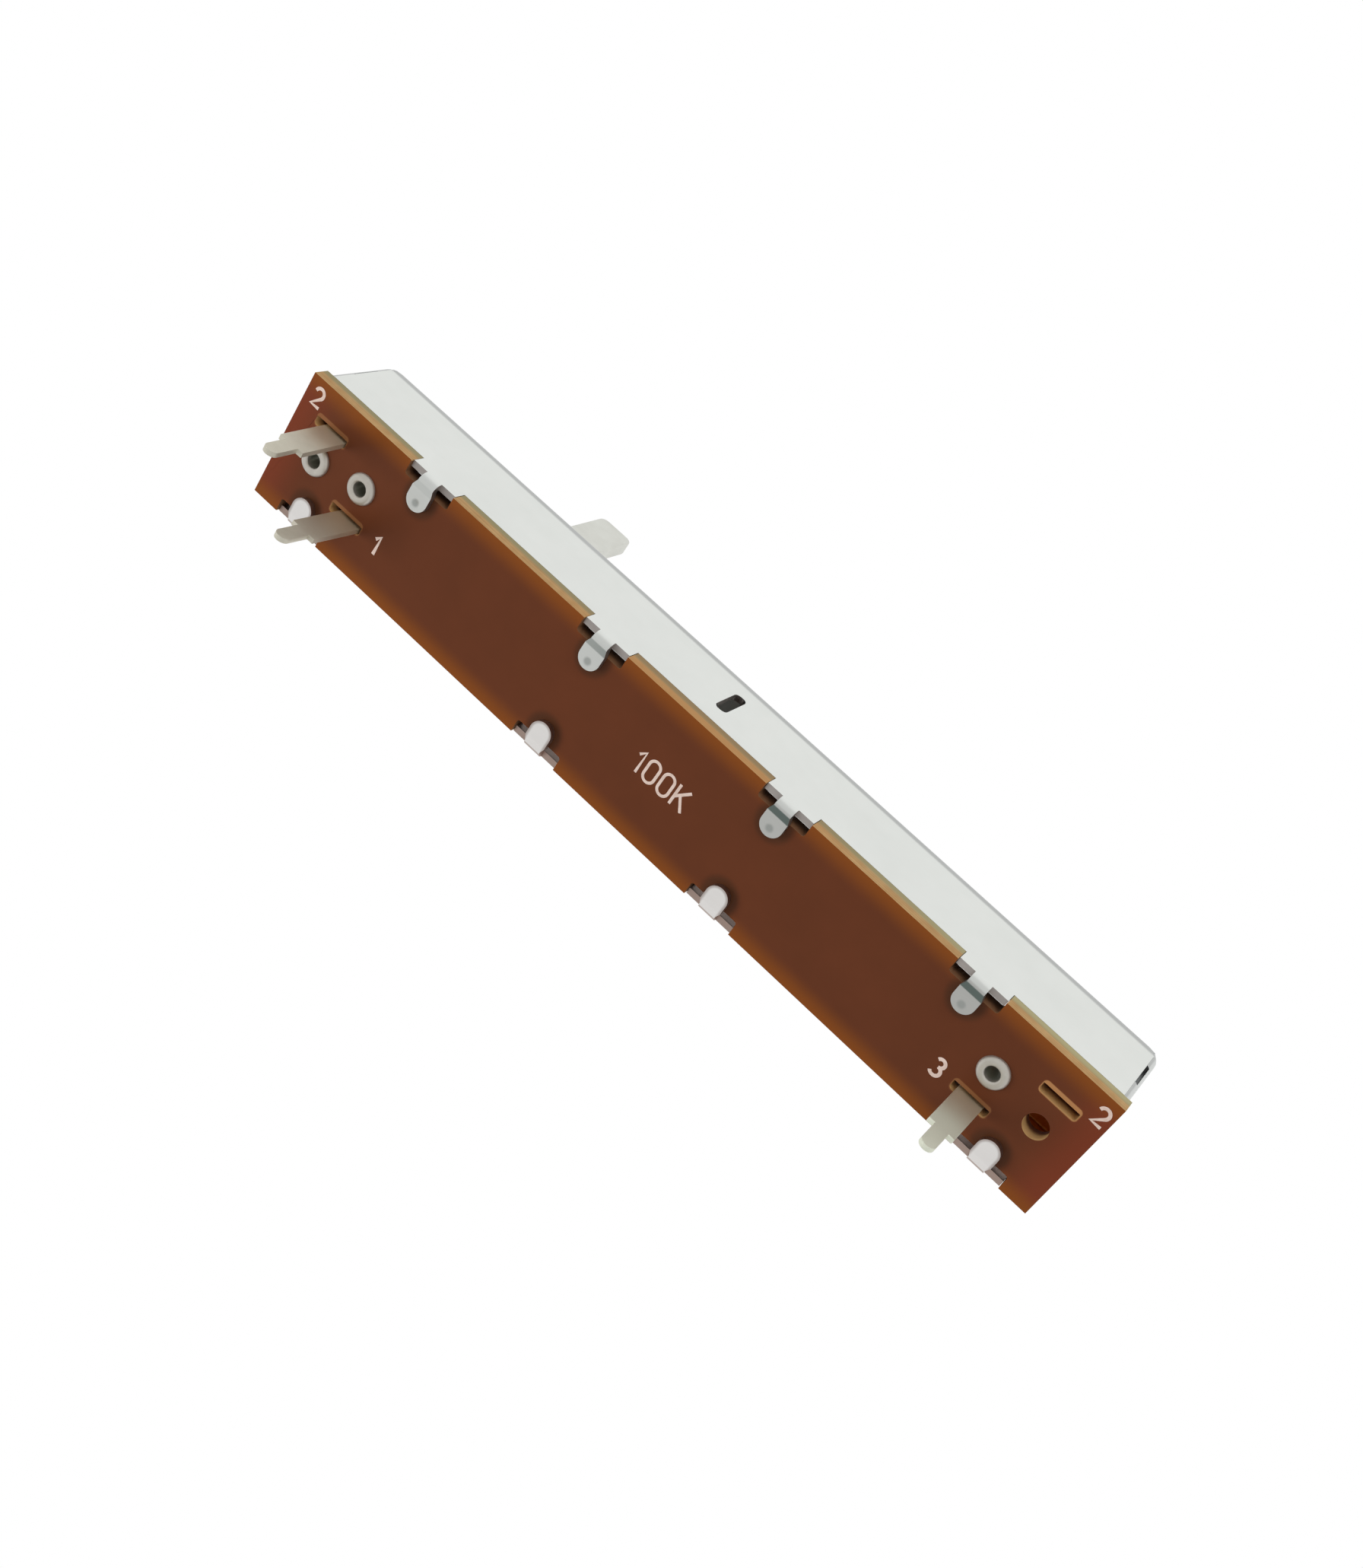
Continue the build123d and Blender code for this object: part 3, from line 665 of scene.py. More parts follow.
# OLIVE is the painted shade towards the inner face, painted lighter towards the right and warmer in the
# middle.
OLIVE, LIGHTER_SHADE_RIGHT, AMBER_OLIVE = (0.34, 0.29, 0.15), (0.475, 0.42, 0.225), (0.33, 0.22, 0.105)
# Painted shade on the punched walls: dark red deep in the openings, dark in the notches and lighter near the
# outer face.
DEEP_RED_SHADE, NOTCH_FLOOR, NOTCH_SHADE_NEAR_FACE = (0.14, 0.035, 0.010), (0.115, 0.045, 0.020), (0.20, 0.095, 0.045)


def sheared_side(at, tan, up):
    """The outer edge: layers, resin in the middle of the board, and painted olive shade towards the inner
    face, lighter towards the right.
    """
    level = put(tan.id_data, "ShaderNodeMapping", {"Vector": at.whole})
    level.inputs["Scale"].default_value = (0.02, 0.02, 1.0)
    fine = {"Value": noise(level.outputs[0], 7000.0, 2.0), "From Min": 0.35, "From Max": 0.65, "To Max": 0.35}
    layers = put(tan.id_data, "ShaderNodeMapRange", fine).outputs[0]
    middle = ramp(at.along, mm(16), mm(5))
    less_shade_right = product(up, ramp(at.x, mm(10), mm(32)))
    lined = overlaid(tan, layers, LAYER_LINE)
    shaded = overlaid(overlaid(lined, middle, RESINOUS, 0.7), up, OLIVE)
    shaded = overlaid(shaded, less_shade_right, LIGHTER_SHADE_RIGHT)
    return overlaid(shaded, product(up, middle), AMBER_OLIVE, 0.9)


def punched_side(at, tan, up):
    """The walls of notches and openings: painted red shade towards the inner face, and painted dark shade in
    the notches.
    """
    notch = ramp(at.across, NOTCH_FLOOR_Y - mm(0.2), NOTCH_FLOOR_Y - mm(0.1))
    dark = overlaid(overlaid(tan, up, DEEP_RED_SHADE), notch, NOTCH_FLOOR)
    return overlaid(dark, product(notch, maths("SUBTRACT", 1.0, up)), NOTCH_SHADE_NEAR_FACE)


def board_edge_finish():
    """Bare layers: the outer edge and the punched walls look different."""
    finish, shader, place = new_finish("phenolic_edge")
    at = places(finish.node_tree)
    tan = toned(place, (0.66, 0.43, 0.195), (0.50, 0.28, 0.105), 900.0, 1.6)
    up = ramp(at.z, BOARD_FACE_Z + mm(0.6), BOARD_INNER_Z - mm(0.3))
    outside = maths("MAXIMUM", ramp(at.across, BOARD_HALF_W - mm(0.12), BOARD_HALF_W - mm(0.06)),
                    ramp(at.along, BOARD_HALF_L - mm(0.12), BOARD_HALF_L - mm(0.06)))
    cut = blended(outside, punched_side(at, tan, up), sheared_side(at, tan, up))
    join_surface(shader, cut,
                 place_group(pebbled_skin, place, Pebbles=5000.0, Smooth=0.6, Rough=0.8, Relief=0.25))
    shader.inputs["Specular IOR Level"].default_value = 0.3
    return finish


phenolic_edge = board_edge_finish()
print("board edge:", phenolic_edge.name)

# %% [markdown]
# ## Plastic, prints and ink
#
# The carriage is moulded black acetal, smooth with a faint spark-eroded skin. The carbon film is
# dull black, the silver film is a dull grey metal full of grains, and the ink of the numbers is a
# warm off-white.

# %% Finishes of the plastic, the films and the ink
black_acetal = toned_finish("black_acetal", pebbled_skin, (0.040, 0.040, 0.042), (0.022, 0.022, 0.023),
                            clouds=500, contrast=1.4, Pebbles=9000, Smooth=0.38, Rough=0.52, Relief=0.10)
carbon_film = toned_finish("carbon_film", pebbled_skin, (0.030, 0.029, 0.028), (0.014, 0.014, 0.014),
                           clouds=3000, contrast=1.8, Pebbles=12000, Smooth=0.55, Rough=0.75, Relief=0.15)
silver_film = toned_finish("silver_film", pebbled_skin, (0.70, 0.69, 0.66), (0.50, 0.49, 0.47), metallic=0.9,
                           clouds=2500, contrast=1.8, Pebbles=16000, Smooth=0.38, Rough=0.60, Relief=0.2)
pale_ink = toned_finish("pale_ink", pebbled_skin, (0.84, 0.68, 0.60), (0.62, 0.45, 0.37),
                        clouds=2200, contrast=1.6, Pebbles=14000, Smooth=0.45, Rough=0.65, Relief=0.15)
print("skins:", [m.name for m in (black_acetal, carbon_film, silver_film, pale_ink)])

# %% [markdown]
# ## The case
#
# The case was blanked, folded and tapped from one sheet of tin-plated steel. Three things are still
# missing from its solid: the thread in the two tapped holes, the small round mark that the closing
# punch leaves in each front tab, and the rounded rims. The thread, the marks and the reliefs at the
# corners are cut with one cutter mesh and an exact boolean, because they go into faces that a bevel
# would not reach. Then the seams are pressed shut, and last the real edges are bevelled.

# %% Cutter for one tapped hole: a lathe profile with V grooves
THREAD_PITCH = mm(0.5)
THREAD_MINOR_R = mm(1.25)
THREAD_MAJOR_R = mm(1.5)
COLLAR_BOTTOM = mm(-1.3)
PAST_THE_METAL = mm(0.05)    # how far a cutter stands out at its ends


def spin_profile(bm, outline, x, y, closed=False, sides=40):
    """Spins a profile of (radius, height) points once round an upright axis."""
    verts = [bm.verts.new((x + r, y, z)) for r, z in outline]
    following = verts[1:] + verts[:1] if closed else verts[1:]
    edges = [bm.edges.new(pair) for pair in zip(verts, following)]
    bmesh.ops.spin(bm, geom=verts + edges, cent=(x, y, 0), axis=(0, 0, 1), angle=2 * math.pi,
                   steps=sides, use_merge=True)


def thread_cutter(bm, x):
    """A closed turned body whose rim is a zigzag, as the crests of an M3 thread are."""
    bore_r, groove = THREAD_MINOR_R - mm(0.01), THREAD_PITCH / 2
    top, bottom = PAST_THE_METAL, COLLAR_BOTTOM - PAST_THE_METAL
    outline = [(0, top), (bore_r, top)]
    z = -groove / 2
    while z - groove > COLLAR_BOTTOM:
        outline += [(bore_r, z), (THREAD_MAJOR_R, z - groove / 2), (bore_r, z - groove)]
        z -= THREAD_PITCH
    spin_profile(bm, outline + [(bore_r, bottom), (0, bottom)], x, 0)


# %% Cutters for the punch marks and the corner reliefs, and the cut itself
MARK_R, MARK_DEPTH, MARK_RINGS = mm(0.36), mm(0.03), 4
PANEL_HOLE_X = mm(35.0)
RELIEF_Z = (mm(-5.5), mm(-2.65))
RELIEF_WIDTHS = {1: mm(0.30), -1: mm(0.10)}       # at the right and at the left end
RELIEF_DEEP, RELIEF_STANDS_OUT = mm(0.7), mm(0.1)
RELIEF_FROM_END = SHEET + mm(0.05)


def dish_cutter(bm, x, y):
    """A closed lens on a tab's outer face; its upper half presses a shallow round dish into the metal."""
    shares = [i / MARK_RINGS for i in range(MARK_RINGS + 1)]
    dish = [(MARK_R * share, MARK_DEPTH * (1 - share ** 2)) for share in shares]
    outline = dish + [(MARK_R, -MARK_DEPTH), (0, -MARK_DEPTH)]
    spin_profile(bm, [(r, TAB_FACE_Z + h) for r, h in outline], x, y)


def relief_cutter(bm, end, side):
    """A slot through the corner of the case, where the end flap meets the side wall."""
    width, (bottom, top) = RELIEF_WIDTHS[end], RELIEF_Z
    centre = Vector((end * (CASE_HALF_L - RELIEF_FROM_END + width / 2),
                     side * (SIDE_Y + RELIEF_STANDS_OUT - RELIEF_DEEP / 2), (top + bottom) / 2))
    size = Matrix.Diagonal((width, RELIEF_DEEP, top - bottom, 1))
    bmesh.ops.create_cube(bm, size=1.0, matrix=Matrix.Translation(centre) @ size)


def cut_with(bm, cutter, name):
    """Takes the cutter out of the bmesh with an exact boolean, and gives the result as a bmesh."""
    blank, tool = object_from(bm, name + "_blank"), object_from(cutter, name + "_cutter")
    cut = blank.modifiers.new("cut", "BOOLEAN")
    cut.object, cut.operation, cut.solver = tool, "DIFFERENCE", "EXACT"
    worked = blank.evaluated_get(bpy.context.evaluated_depsgraph_get())
    result = bmesh.new()
    result.from_mesh(worked.to_mesh())
    worked.to_mesh_clear()
    for used in (blank, tool):
        mesh = used.data
        bpy.data.objects.remove(used)
        bpy.data.meshes.remove(mesh)
    return result


cutter_bm = bmesh.new()
for end in (-1, 1):
    thread_cutter(cutter_bm, end * PANEL_HOLE_X)
for end in (-1, 1):
    for side in (-1, 1):
        relief_cutter(cutter_bm, end, side)
for x in FRONT_TAB_XS:
    for end in (-1, 1):
        dish_cutter(cutter_bm, end * x, MARK_Y)
close_up(cutter_bm)
case_bm = cut_with(welded_copy("case"), cutter_bm, "case")
make_whole(case_bm)
print("case faces after the cut:", len(case_bm.faces))

# %% Seams pressed shut, and a rounder window
WALL_FROM_Y = mm(4.5)            # |y| past which the metal belongs to a side wall
SEAMS = (mm(0.08), mm(0.3))      # width of the seam and of its relief in the solid
SEAM_SHUT = mm(0.012)
WINDOW_HALF_W, WINDOW_Z = mm(0.5), (mm(-6.2), mm(-2.3))
WINDOW_SHORTER, WINDOW_CORNER_R = mm(0.2), mm(0.42)


def lies_at(value, *targets):
    """True where a length is one of the targets, to a hundredth of a millimetre."""
    return any(abs(value - target) < mm(0.01) for target in targets)


def close_seams(bm):
    """Presses the side walls up to the end flaps: only a hair line and the cut reliefs stay."""
    shut = CASE_HALF_L - SHEET - SEAM_SHUT
    corners = [v for v in bm.verts if abs(v.co.y) > WALL_FROM_Y
               and lies_at(CASE_HALF_L - SHEET - abs(v.co.x), *SEAMS)]
    for vert in corners:
        vert.co.x = math.copysign(shut, vert.co.x)
    return len(corners)


def is_window_corner(vert):
    """One of the eight corners of the upright slot in the front wall."""
    at_side = vert.co.y < -WALL_FROM_Y and lies_at(abs(vert.co.x), WINDOW_HALF_W)
    return at_side and lies_at(vert.co.z, *WINDOW_Z)


def round_window(bm):
    """Draws the ends of the window in a little and rounds its corners, as a blunt punch does."""
    corners = {v for v in bm.verts if is_window_corner(v)}
    for vert in corners:
        vert.co.z += math.copysign(WINDOW_SHORTER, sum(WINDOW_Z) / 2 - vert.co.z)
    through = [e for e in bm.edges if corners.issuperset(e.verts)
               and abs(e.verts[0].co.y - e.verts[1].co.y) > SHEET / 2]
    bmesh.ops.bevel(bm, geom=through, offset=WINDOW_CORNER_R, offset_type="OFFSET", segments=4, profile=0.5,
                    affect="EDGES", material=-1)
    return len(through)


print("seam corners moved:", close_seams(case_bm))
print("window corners rounded:", round_window(case_bm))

# %% Rounded rims of the case
CASE_RIM_R = mm(0.05)
SHORTEST_RIM = mm(0.12)
THREAD_CLEAR_R = mm(1.8)
SLIT_FROM_END, SLIT_TOP_Z = (mm(0.1), SHEET + mm(0.35)), mm(-1.0)


def middle_of(edge):
    """The point halfway along an edge."""
    return (edge.verts[0].co + edge.verts[1].co) / 2


def rim_to_round(edge):
    """Leaves out the thread, the marks and the narrow corner slits, which stay as the punch cut them."""
    place = middle_of(edge)
    at_thread = math.hypot(abs(place.x) - PANEL_HOLE_X, place.y) < THREAD_CLEAR_R
    at_slit = (SLIT_FROM_END[0] < CASE_HALF_L - abs(place.x) < SLIT_FROM_END[1]
               and abs(place.y) > WALL_FROM_Y and place.z < SLIT_TOP_Z)
    return edge.calc_length() > SHORTEST_RIM and not at_thread and not at_slit


print("case edges rounded:", soften(case_bm, CASE_RIM_R, keep=rim_to_round))

# %% [markdown]
# ### Plated skin and bare edges
#
# The sheet was plated before it was blanked, so its skin is bright tin and its sheared edges are bare
# grey steel. A ray sent into the metal tells them apart: from the skin it meets the other side after
# one thickness of the sheet, and from a sheared edge it runs much further.

# %% Finding the sheared edges with rays
from mathutils.bvhtree import BVHTree

JUST_INSIDE = mm(0.002)
CREASE_LEAN = (0.18, 0.23)       # |y| of the normal of a face that leans about 12 degrees


def mark_sheared_faces(bm, thickest):
    """Gives material 1 to faces that have more metal behind them everywhere than one sheet."""
    tree = BVHTree.FromBMesh(bm)
    least = {}
    for corners in bm.calc_loop_triangles():
        face = corners[0].face
        middle = sum((corner.vert.co for corner in corners), Vector()) / 3
        hit, _, _, depth = tree.ray_cast(middle - face.normal * JUST_INSIDE, -face.normal)
        least[face] = min(least.get(face, math.inf), math.inf if hit is None else depth)
    for face, depth in least.items():
        face.material_index = 1 if depth > thickest else 0
    return sum(face.material_index for face in bm.faces)


def is_crease(face):
    """A tab's short slope, which leans 12 degrees out of the flat."""
    return CREASE_LEAN[0] < abs(face.normal.y) < CREASE_LEAN[1] and face.normal.z < -0.97


print("sheared faces:", mark_sheared_faces(case_bm, SHEET * 1.5))
for edge in case_bm.edges:
    if len(edge.link_faces) == 2 and is_crease(edge.link_faces[0]) != is_crease(edge.link_faces[1]):
        edge.smooth = False
case_sheet = object_from(case_bm, "case_sheet")
case_sheet.data.materials.append(tin_plate)
case_sheet.data.materials.append(sheared_steel)
dress(case_sheet, "housing", "case_steel", "case")
print("case faces:", len(case_sheet.data.polygons))

# %% [markdown]
# ## The element board
#
# The board is sheared from a lacquered panel. Its two faces keep the lacquer and its edges, notches
# and holes show the bare layers. The direction each face of the mesh looks in tells which is which,
# so the copy gets two finishes, chosen face by face. The paper round a punched opening springs back a
# little, so some walls of the slots and notches are moved in first.

# %% Slots and notches that sprang back
SLOT_FRONTS = {mm(-3.175): mm(-2.925), mm(1.275): mm(1.5)}    # front wall of a slot: punched at, sprung to
SLOT_SPAN_X = (mm(28), BOARD_HALF_L - mm(1.0))
CORNER_DEPTH, CORNER_LEFT = mm(0.24), 0.1      # a slot's round corner, and the share of it that stays
NOTCH_HALF, NOTCH_CLOSED_BY, NOTCH_CORNER = mm(2.2), mm(0.11), mm(0.21)
NOTCHES = [(side, end * x) for side, row in ((-1, FRONT_TAB_XS), (1, REAR_TAB_XS))
           for x in row for end in (-1, 1)]


def close_slots_in(bm):
    """The front walls of the slots stand nearer to the blades than the punch cut them."""
    moved = 0
    for vert in bm.verts:
        for punched, sprung in SLOT_FRONTS.items():
            depth = vert.co.y - punched
            if mm(-0.01) < depth < CORNER_DEPTH and SLOT_SPAN_X[0] < abs(vert.co.x) < SLOT_SPAN_X[1]:
                vert.co.y = sprung + depth * CORNER_LEFT
                moved += 1
    return moved


def close_notches_in(bm):
    """The side walls of every notch stand close to the shoulder of the case."""
    moved = 0
    for vert in bm.verts:
        for side, x in NOTCHES:
            off = vert.co.x - x
            at_wall = NOTCH_HALF - NOTCH_CORNER < abs(off) < NOTCH_HALF + mm(0.01)
            if at_wall and vert.co.y * side > NOTCH_FLOOR_Y - mm(0.02):
                vert.co.x -= math.copysign(NOTCH_CLOSED_BY, off)
                moved += 1
    return moved


board_bm = welded_copy("element_board")
print("slot corners moved:", close_slots_in(board_bm), " notch corners:", close_notches_in(board_bm))

# %% Board with lacquered faces and bare edges
OPENING_CHIP, BOARD_RIM_R = mm(0.15), mm(0.04)
OPENINGS_TO_Y = mm(3.9)          # |y| within which the holes and slots lie


def opening_rim(edge):
    """An edge of a hole or slot, on the board's outer face."""
    place = middle_of(edge)
    level = all(lies_at(v.co.z, BOARD_FACE_Z) for v in edge.verts)
    return level and abs(place.y) < OPENINGS_TO_Y and abs(place.x) < BOARD_HALF_L - mm(0.5)


def outer_rim(edge):
    """An edge of the outline or of a notch."""
    return abs(edge.verts[0].co.y) > OPENINGS_TO_Y


print("opening rims chipped:", soften(board_bm, OPENING_CHIP, segments=1, keep=opening_rim))
print("board edges rounded:", soften(board_bm, BOARD_RIM_R, keep=outer_rim))
board_panel = object_from(board_bm, "board_panel")
for finish in (phenolic_face, phenolic_edge):
    board_panel.data.materials.append(finish)
for face in board_panel.data.polygons:
    face.material_index = 0 if abs(face.normal.z) > 0.8 else 1
dress(board_panel, "housing", "phenolic_board", "element_board")
bare = sum(face.material_index for face in board_panel.data.polygons)
print("board faces: %d bare of %d" % (bare, len(board_panel.data.polygons)))

# %% [markdown]
# ## Blades and lever
#
# The blades and the lever are stamped from strip and then tumbled, which rounds every edge. The copy
# of each solid only needs its real edges softened: a little on the thin blades, more on the thicker
# lever. The moulded carriage inside gets the same treatment.

# %% Softened copies of the blades, the lever and the carriage
BLADE_RIM_R, LEVER_RIM_R, CARRIAGE_RIM_R = mm(0.06), mm(0.14), mm(0.06)


def softened_piece(node, name, body, slot, finish, radius, segments=2):
    """A copy of a node with its real edges rounded, in its own finish."""
    bm = welded_copy(node)
    count = soften(bm, radius, segments)
    piece = object_from(bm, name)
    piece.data.materials.append(finish)
    print("%s: %d edges rounded by %.2f mm" % (name, count, radius * 1000))
    return dress(piece, body, slot, node)


for number in (1, 2, 3):
    softened_piece("terminal_%d" % number, "terminal_blade_%d" % number, "housing", "tinned_terminal",
                   blade_tin, BLADE_RIM_R)
softened_piece("lever", "lever_strip", "slider", "lever_steel", lever_zinc, LEVER_RIM_R, 3)
softened_piece("slider_carriage", "carriage_block", "slider", "carriage_plastic", black_acetal,
               CARRIAGE_RIM_R)

# %% [markdown]
# ## Eyelets
#
# An eyelet is a thin brass tube with a flange. The press pushes it through the blade's foot and the
# board, and curls the open end outwards into a smooth ring. A turned shape comes from a profile spun
# round an axis, and a curl is a half circle in that profile, so the ring is drawn with arcs and spun
# once round.

# %% Profile of an eyelet, spun round its own axis
EYELETS = {1: (mm(-29.9), mm(-0.88)), 2: (mm(-34.17), mm(-0.05)), 3: (mm(29.9), mm(-0.88))}
BORE_R, RIM_R, TUBE_R = mm(0.55), mm(1.2), mm(0.78)
OUTER_CURL, INNER_CURL = mm(0.30), mm(0.16)   # how far the ring rounds off outside and at the bore
HEAD_T = mm(0.25)
HEAD_CHAMFER = mm(0.05)


def arc(centre, radii, first, last, steps=14):
    """Points of an elliptical arc from one angle to another, in degrees."""
    angles = [math.radians(first + (last - first) * i / steps) for i in range(steps + 1)]
    return [(centre[0] + radii[0] * math.cos(a), centre[1] + radii[1] * math.sin(a)) for a in angles]


def eyelet_ring(number, x, y):
    """The curled ring, the tube through the board and the flat head inside."""
    low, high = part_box("eyelet_%d" % number)
    top = high.z
    outline = arc((RIM_R - OUTER_CURL, BOARD_FACE_Z), (OUTER_CURL, BOARD_FACE_Z - low.z), 0, -90, 8)
    outline += arc((BORE_R + INNER_CURL, low.z + INNER_CURL), (INNER_CURL, INNER_CURL), -90, -180, 6)
    outline += [(BORE_R, top - HEAD_CHAMFER), (BORE_R + HEAD_CHAMFER, top), (RIM_R - HEAD_CHAMFER, top),
                (RIM_R, top - HEAD_CHAMFER), (RIM_R, top - HEAD_T), (TUBE_R, top - HEAD_T),
                (TUBE_R, BOARD_FACE_Z)]
    bm = bmesh.new()
    spin_profile(bm, outline, x, y, closed=True, sides=48)
    close_up(bm)
    piece = object_from(bm, "eyelet_ring_%d" % number)
    piece.data.materials.append(eyelet_tin)
    return dress(piece, "housing", "eyelet_metal", "eyelet_%d" % number)


for number, (x, y) in EYELETS.items():
    ring = eyelet_ring(number, x, y)
    print(ring.name, "faces:", len(ring.data.polygons))

# %% [markdown]
# ## Films and contact
#
# The two printed tracks, their end pads and the sprung contact keep their solids. They are thin and
# already have their true shape, so they only need a finish.

# %% Finishes on the solids that stay
for node, finish in {"resistive_track": carbon_film, "collector_track": silver_film, "end_pad_1": silver_film,
                     "end_pad_3": silver_film, "wiper": spring_bronze}.items():
    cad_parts[node].data.materials.clear()
    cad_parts[node].data.materials.append(finish)
    print(node, "->", finish.name)

# %% [markdown]
# ## Numbers on the board
#
# The terminal numbers and a resistance value are screen printed in pale ink, in plain lettering of
# one stroke width. A stroke letter is a few lines and arcs, so each is written as the path of a round
# pen. A curve with a bevel follows the path, becomes a mesh, and is pressed flat to the thickness of
# ink. The board's outer face looks down, so the lettering is turned half round about X and reads
# along +X for someone who looks at the blades.

# %% Pen strokes of the characters, on a square one unit high
GLYPHS = {       # the width of each character, and its strokes
    "0": (0.52, [arc((0.26, 0.74), (0.26, 0.26), 0, 180) + arc((0.26, 0.26), (0.26, 0.26), 180, 360)
                 + [(0.52, 0.74)]]),
    "1": (0.30, [[(0.0, 0.74), (0.24, 1.0), (0.24, 0.0)]]),
    "2": (0.58, [arc((0.28, 0.71), (0.28, 0.29), 170, -38) + [(0.0, 0.0), (0.60, 0.0)]]),
    "3": (0.56, [arc((0.27, 0.76), (0.24, 0.24), 155, -90), arc((0.27, 0.27), (0.28, 0.27), 90, -150)]),
    "K": (0.56, [[(0.0, 0.0), (0.0, 1.0)], [(0.54, 1.0), (0.0, 0.40)], [(0.20, 0.60), (0.58, 0.0)]]),
}
print("characters:", sorted(GLYPHS))

# %% Lettering as one mesh
INK_T = mm(0.014)
LETTER_GAP = 0.24


def pen_mesh(words, name, pen):
    """A mesh of all the strokes of the words, one unit high, drawn by a round pen of that radius."""
    path = bpy.data.curves.new(name, "CURVE")
    path.dimensions = "3D"
    path.bevel_depth, path.bevel_resolution, path.use_fill_caps = pen, 2, True
    pen_x = 0.0
    for letter in words:
        width, strokes = GLYPHS[letter]
        for stroke in strokes:
            line = path.splines.new("POLY")
            line.points.add(len(stroke) - 1)
            for point, (x, y) in zip(line.points, stroke):
                point.co = (pen_x + x, y, 0, 1)
        pen_x += width + LETTER_GAP
    drawn = bpy.data.objects.new(name + "_path", path)
    bpy.context.scene.collection.objects.link(drawn)
    mesh = bpy.data.meshes.new_from_object(drawn.evaluated_get(bpy.context.evaluated_depsgraph_get()))
    bpy.data.objects.remove(drawn)
    return mesh


def printed(name, words, x, y, height, pen_r):
    """Lettering of that height and pen radius, pressed flat on the board's outer face."""
    mesh = pen_mesh(words, name, pen_r / height)
    xs, ys = [v.co.x for v in mesh.vertices], [v.co.y for v in mesh.vertices]
    size = height / (max(ys) - min(ys))
    middle = Matrix.Translation((-(max(xs) + min(xs)) / 2, -(max(ys) + min(ys)) / 2, 0))
    pressed = Matrix.Diagonal((size, size, INK_T * height / (2 * pen_r), 1))
    laid = Matrix.Translation((x, y, BOARD_FACE_Z - INK_T / 2))
    mesh.transform(laid @ Matrix.Rotation(math.pi, 4, "X") @ pressed @ middle)
    bm = bmesh.new()
    bm.from_mesh(mesh)
    close_up(bm, mm(0.0001))
    piece = object_from(bm, name)
    piece.data.materials.append(pale_ink)
    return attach(piece, "housing")


PRINTS = {       # words, the place of their middle, the height and the radius of the pen, in mm
    "value_marking": ("100K", 0.5, 0.0, 2.0, 0.125),
    "pin_number_1": ("1", -26.81, 1.64, 1.64, 0.155),
    "pin_number_3": ("3", 27.07, 1.69, 1.64, 0.160),
    "pin_number_2_left": ("2", -36.35, -4.0, 1.64, 0.155),
    "pin_number_2_right": ("2", 36.68, -3.87, 1.64, 0.155),
}
for name, (words, *sizes) in PRINTS.items():
    piece = printed(name, words, *[mm(size) for size in sizes])
    print(name, "width %.2f mm" % (piece.dimensions.x * 1000))

# %% [markdown]
# ## Floor and background
#
# The part hangs free, well above a plain pale floor, with its blades down. The background is the
# world: white to the camera and to mirrors, and milder to everything that only receives light, so
# that the pale steel doesn't burn out.

# %% Floor and world
FLOOR_Z = mm(-400)
FLOOR_IN_MIRRORS = 0.78      # how bright the metal shows the floor
FLOOR_LIFT = 0.38            # added for the camera, so that the floor looks pale and keeps its shadow
FLOOR_HALF = 6.0


def make_floor():
    """A wide plane with its own brightness for the camera and for mirrors."""
    bm = bmesh.new()
    bmesh.ops.create_grid(bm, x_segments=1, y_segments=1, size=FLOOR_HALF)
    bmesh.ops.translate(bm, verts=bm.verts[:], vec=(0, 0, FLOOR_Z))
    floor = object_from(bm, "floor")
    finish, shader, place = new_finish("pale_floor")
    tree = finish.node_tree
    feed(shader.inputs["Base Color"],
         toned(place, (0.80, 0.80, 0.80), (0.77, 0.77, 0.77), 3.0, 1.0))
    shader.inputs["Roughness"].default_value = 0.9
    path = tree.nodes.new("ShaderNodeLightPath").outputs
    bright, pale = [put(tree, "ShaderNodeEmission", {"Color": (1, 1, 1), "Strength": strength}).outputs[0]
                    for strength in (FLOOR_IN_MIRRORS, FLOOR_LIFT)]
    lifted = put(tree, "ShaderNodeAddShader", {0: shader.outputs[0], 1: pale}).outputs[0]
    plain = put(tree, "ShaderNodeMixShader", {0: path["Is Camera Ray"], 1: shader.outputs[0], 2: lifted})
    seen = put(tree, "ShaderNodeMixShader", {0: path["Is Glossy Ray"], 1: plain.outputs[0], 2: bright})
    feed(tree.nodes["Material Output"].inputs["Surface"], seen.outputs[0])
    floor.data.materials.append(finish)


WORLD_LIGHT = 0.55


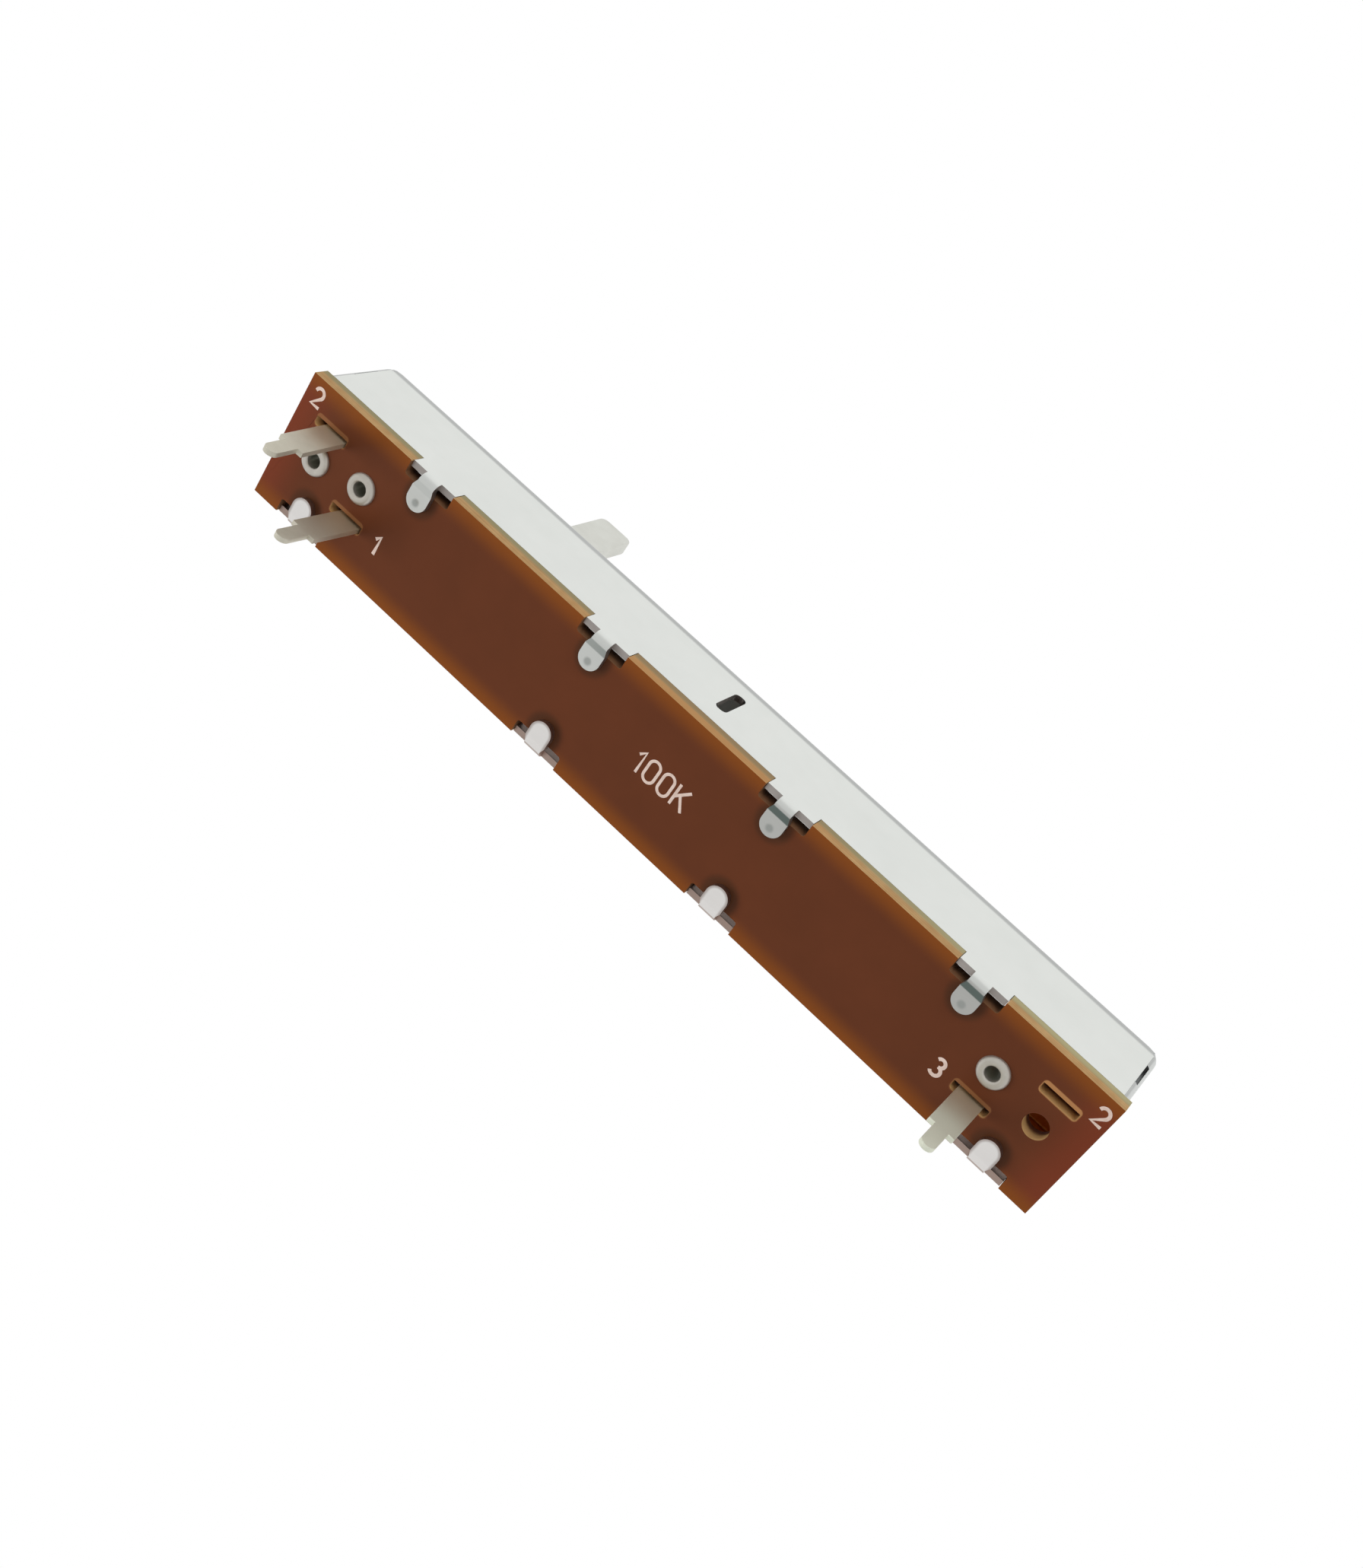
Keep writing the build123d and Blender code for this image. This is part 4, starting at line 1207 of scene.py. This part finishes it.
def make_world():
    """White where it is seen, in a mirror or through a gap, and milder as a light."""
    world = bpy.data.worlds.new("studio")
    world.use_nodes = True
    tree = world.node_tree
    tree.nodes.clear()
    path = tree.nodes.new("ShaderNodeLightPath").outputs
    seen = maths("MAXIMUM", path["Is Camera Ray"], path["Is Glossy Ray"])
    seen = maths("MAXIMUM", seen, path["Is Transmission Ray"])
    soft, white = [put(tree, "ShaderNodeBackground", {"Color": (1, 1, 1), "Strength": strength}).outputs[0]
                   for strength in (WORLD_LIGHT, 1.0)]
    mix = put(tree, "ShaderNodeMixShader", {0: seen, 1: soft, 2: white})
    feed(tree.nodes.new("ShaderNodeOutputWorld").inputs["Surface"], mix.outputs[0])
    bpy.context.scene.world = world


make_floor()
make_world()
print("floor at z %.0f mm" % (FLOOR_Z * 1000))

# %% [markdown]
# ## Lamps
#
# Soft boxes are area lamps. The metal doesn't mirror them, because the pale world already gives its
# reflections and a lamp among them would burn out. The key stands low on the side of the terminals 1
# and 2, behind the part, so that tabs and blades throw their short shadows towards +X. A weaker one
# in front fills the shaded sides, and one high behind keeps the lever side clear in other views.

# %% Soft boxes
def soft_box(name, place, size, power):
    """A square lamp aimed at the middle of the object, unseen by the camera and by mirrors."""
    lamp = bpy.data.lights.new(name, "AREA")
    lamp.shape, lamp.size, lamp.energy = "SQUARE", size, power
    holder = bpy.data.objects.new(name, lamp)
    holder.location = place
    holder.rotation_euler = (-Vector(place)).to_track_quat("-Z", "Y").to_euler()
    holder.visible_camera = False
    holder.visible_glossy = False
    bpy.context.scene.collection.objects.link(holder)


soft_box("key_box", (-0.30, 0.12, -0.26), 0.22, 0.8)
soft_box("fill_box", (0.16, -0.38, -0.16), 0.30, 0.65)
soft_box("top_box", (0.15, 0.30, 0.40), 0.35, 0.5)

# %% [markdown]
# ## Camera
#
# The camera stands below and in front and looks up along the body, which shows the solder side and
# the long front wall. Its matrix is built from three directions: right, up, and backwards.

# %% Camera
def make_camera():
    """A camera from its three directions and its place."""
    right = Vector((0.71814, -0.50837, 0.47521))
    down = Vector((0.66293, 0.70745, -0.24502))
    forward = Vector((-0.21163, 0.49100, 0.84506))
    camera = bpy.data.cameras.new("camera")
    camera.sensor_width, camera.lens, camera.clip_start = 36, 45.62, mm(5)
    holder = bpy.data.objects.new("camera", camera)
    turn = Matrix((right, -down, -forward)).transposed().to_4x4()
    holder.matrix_world = Matrix.Translation((mm(30.224), mm(-66.963), mm(-123.029))) @ turn
    bpy.context.scene.collection.objects.link(holder)
    bpy.context.scene.camera = holder


make_camera()
bpy.context.scene.view_settings.view_transform = "Standard"
print("lens %.2f mm" % bpy.context.scene.camera.data.lens)
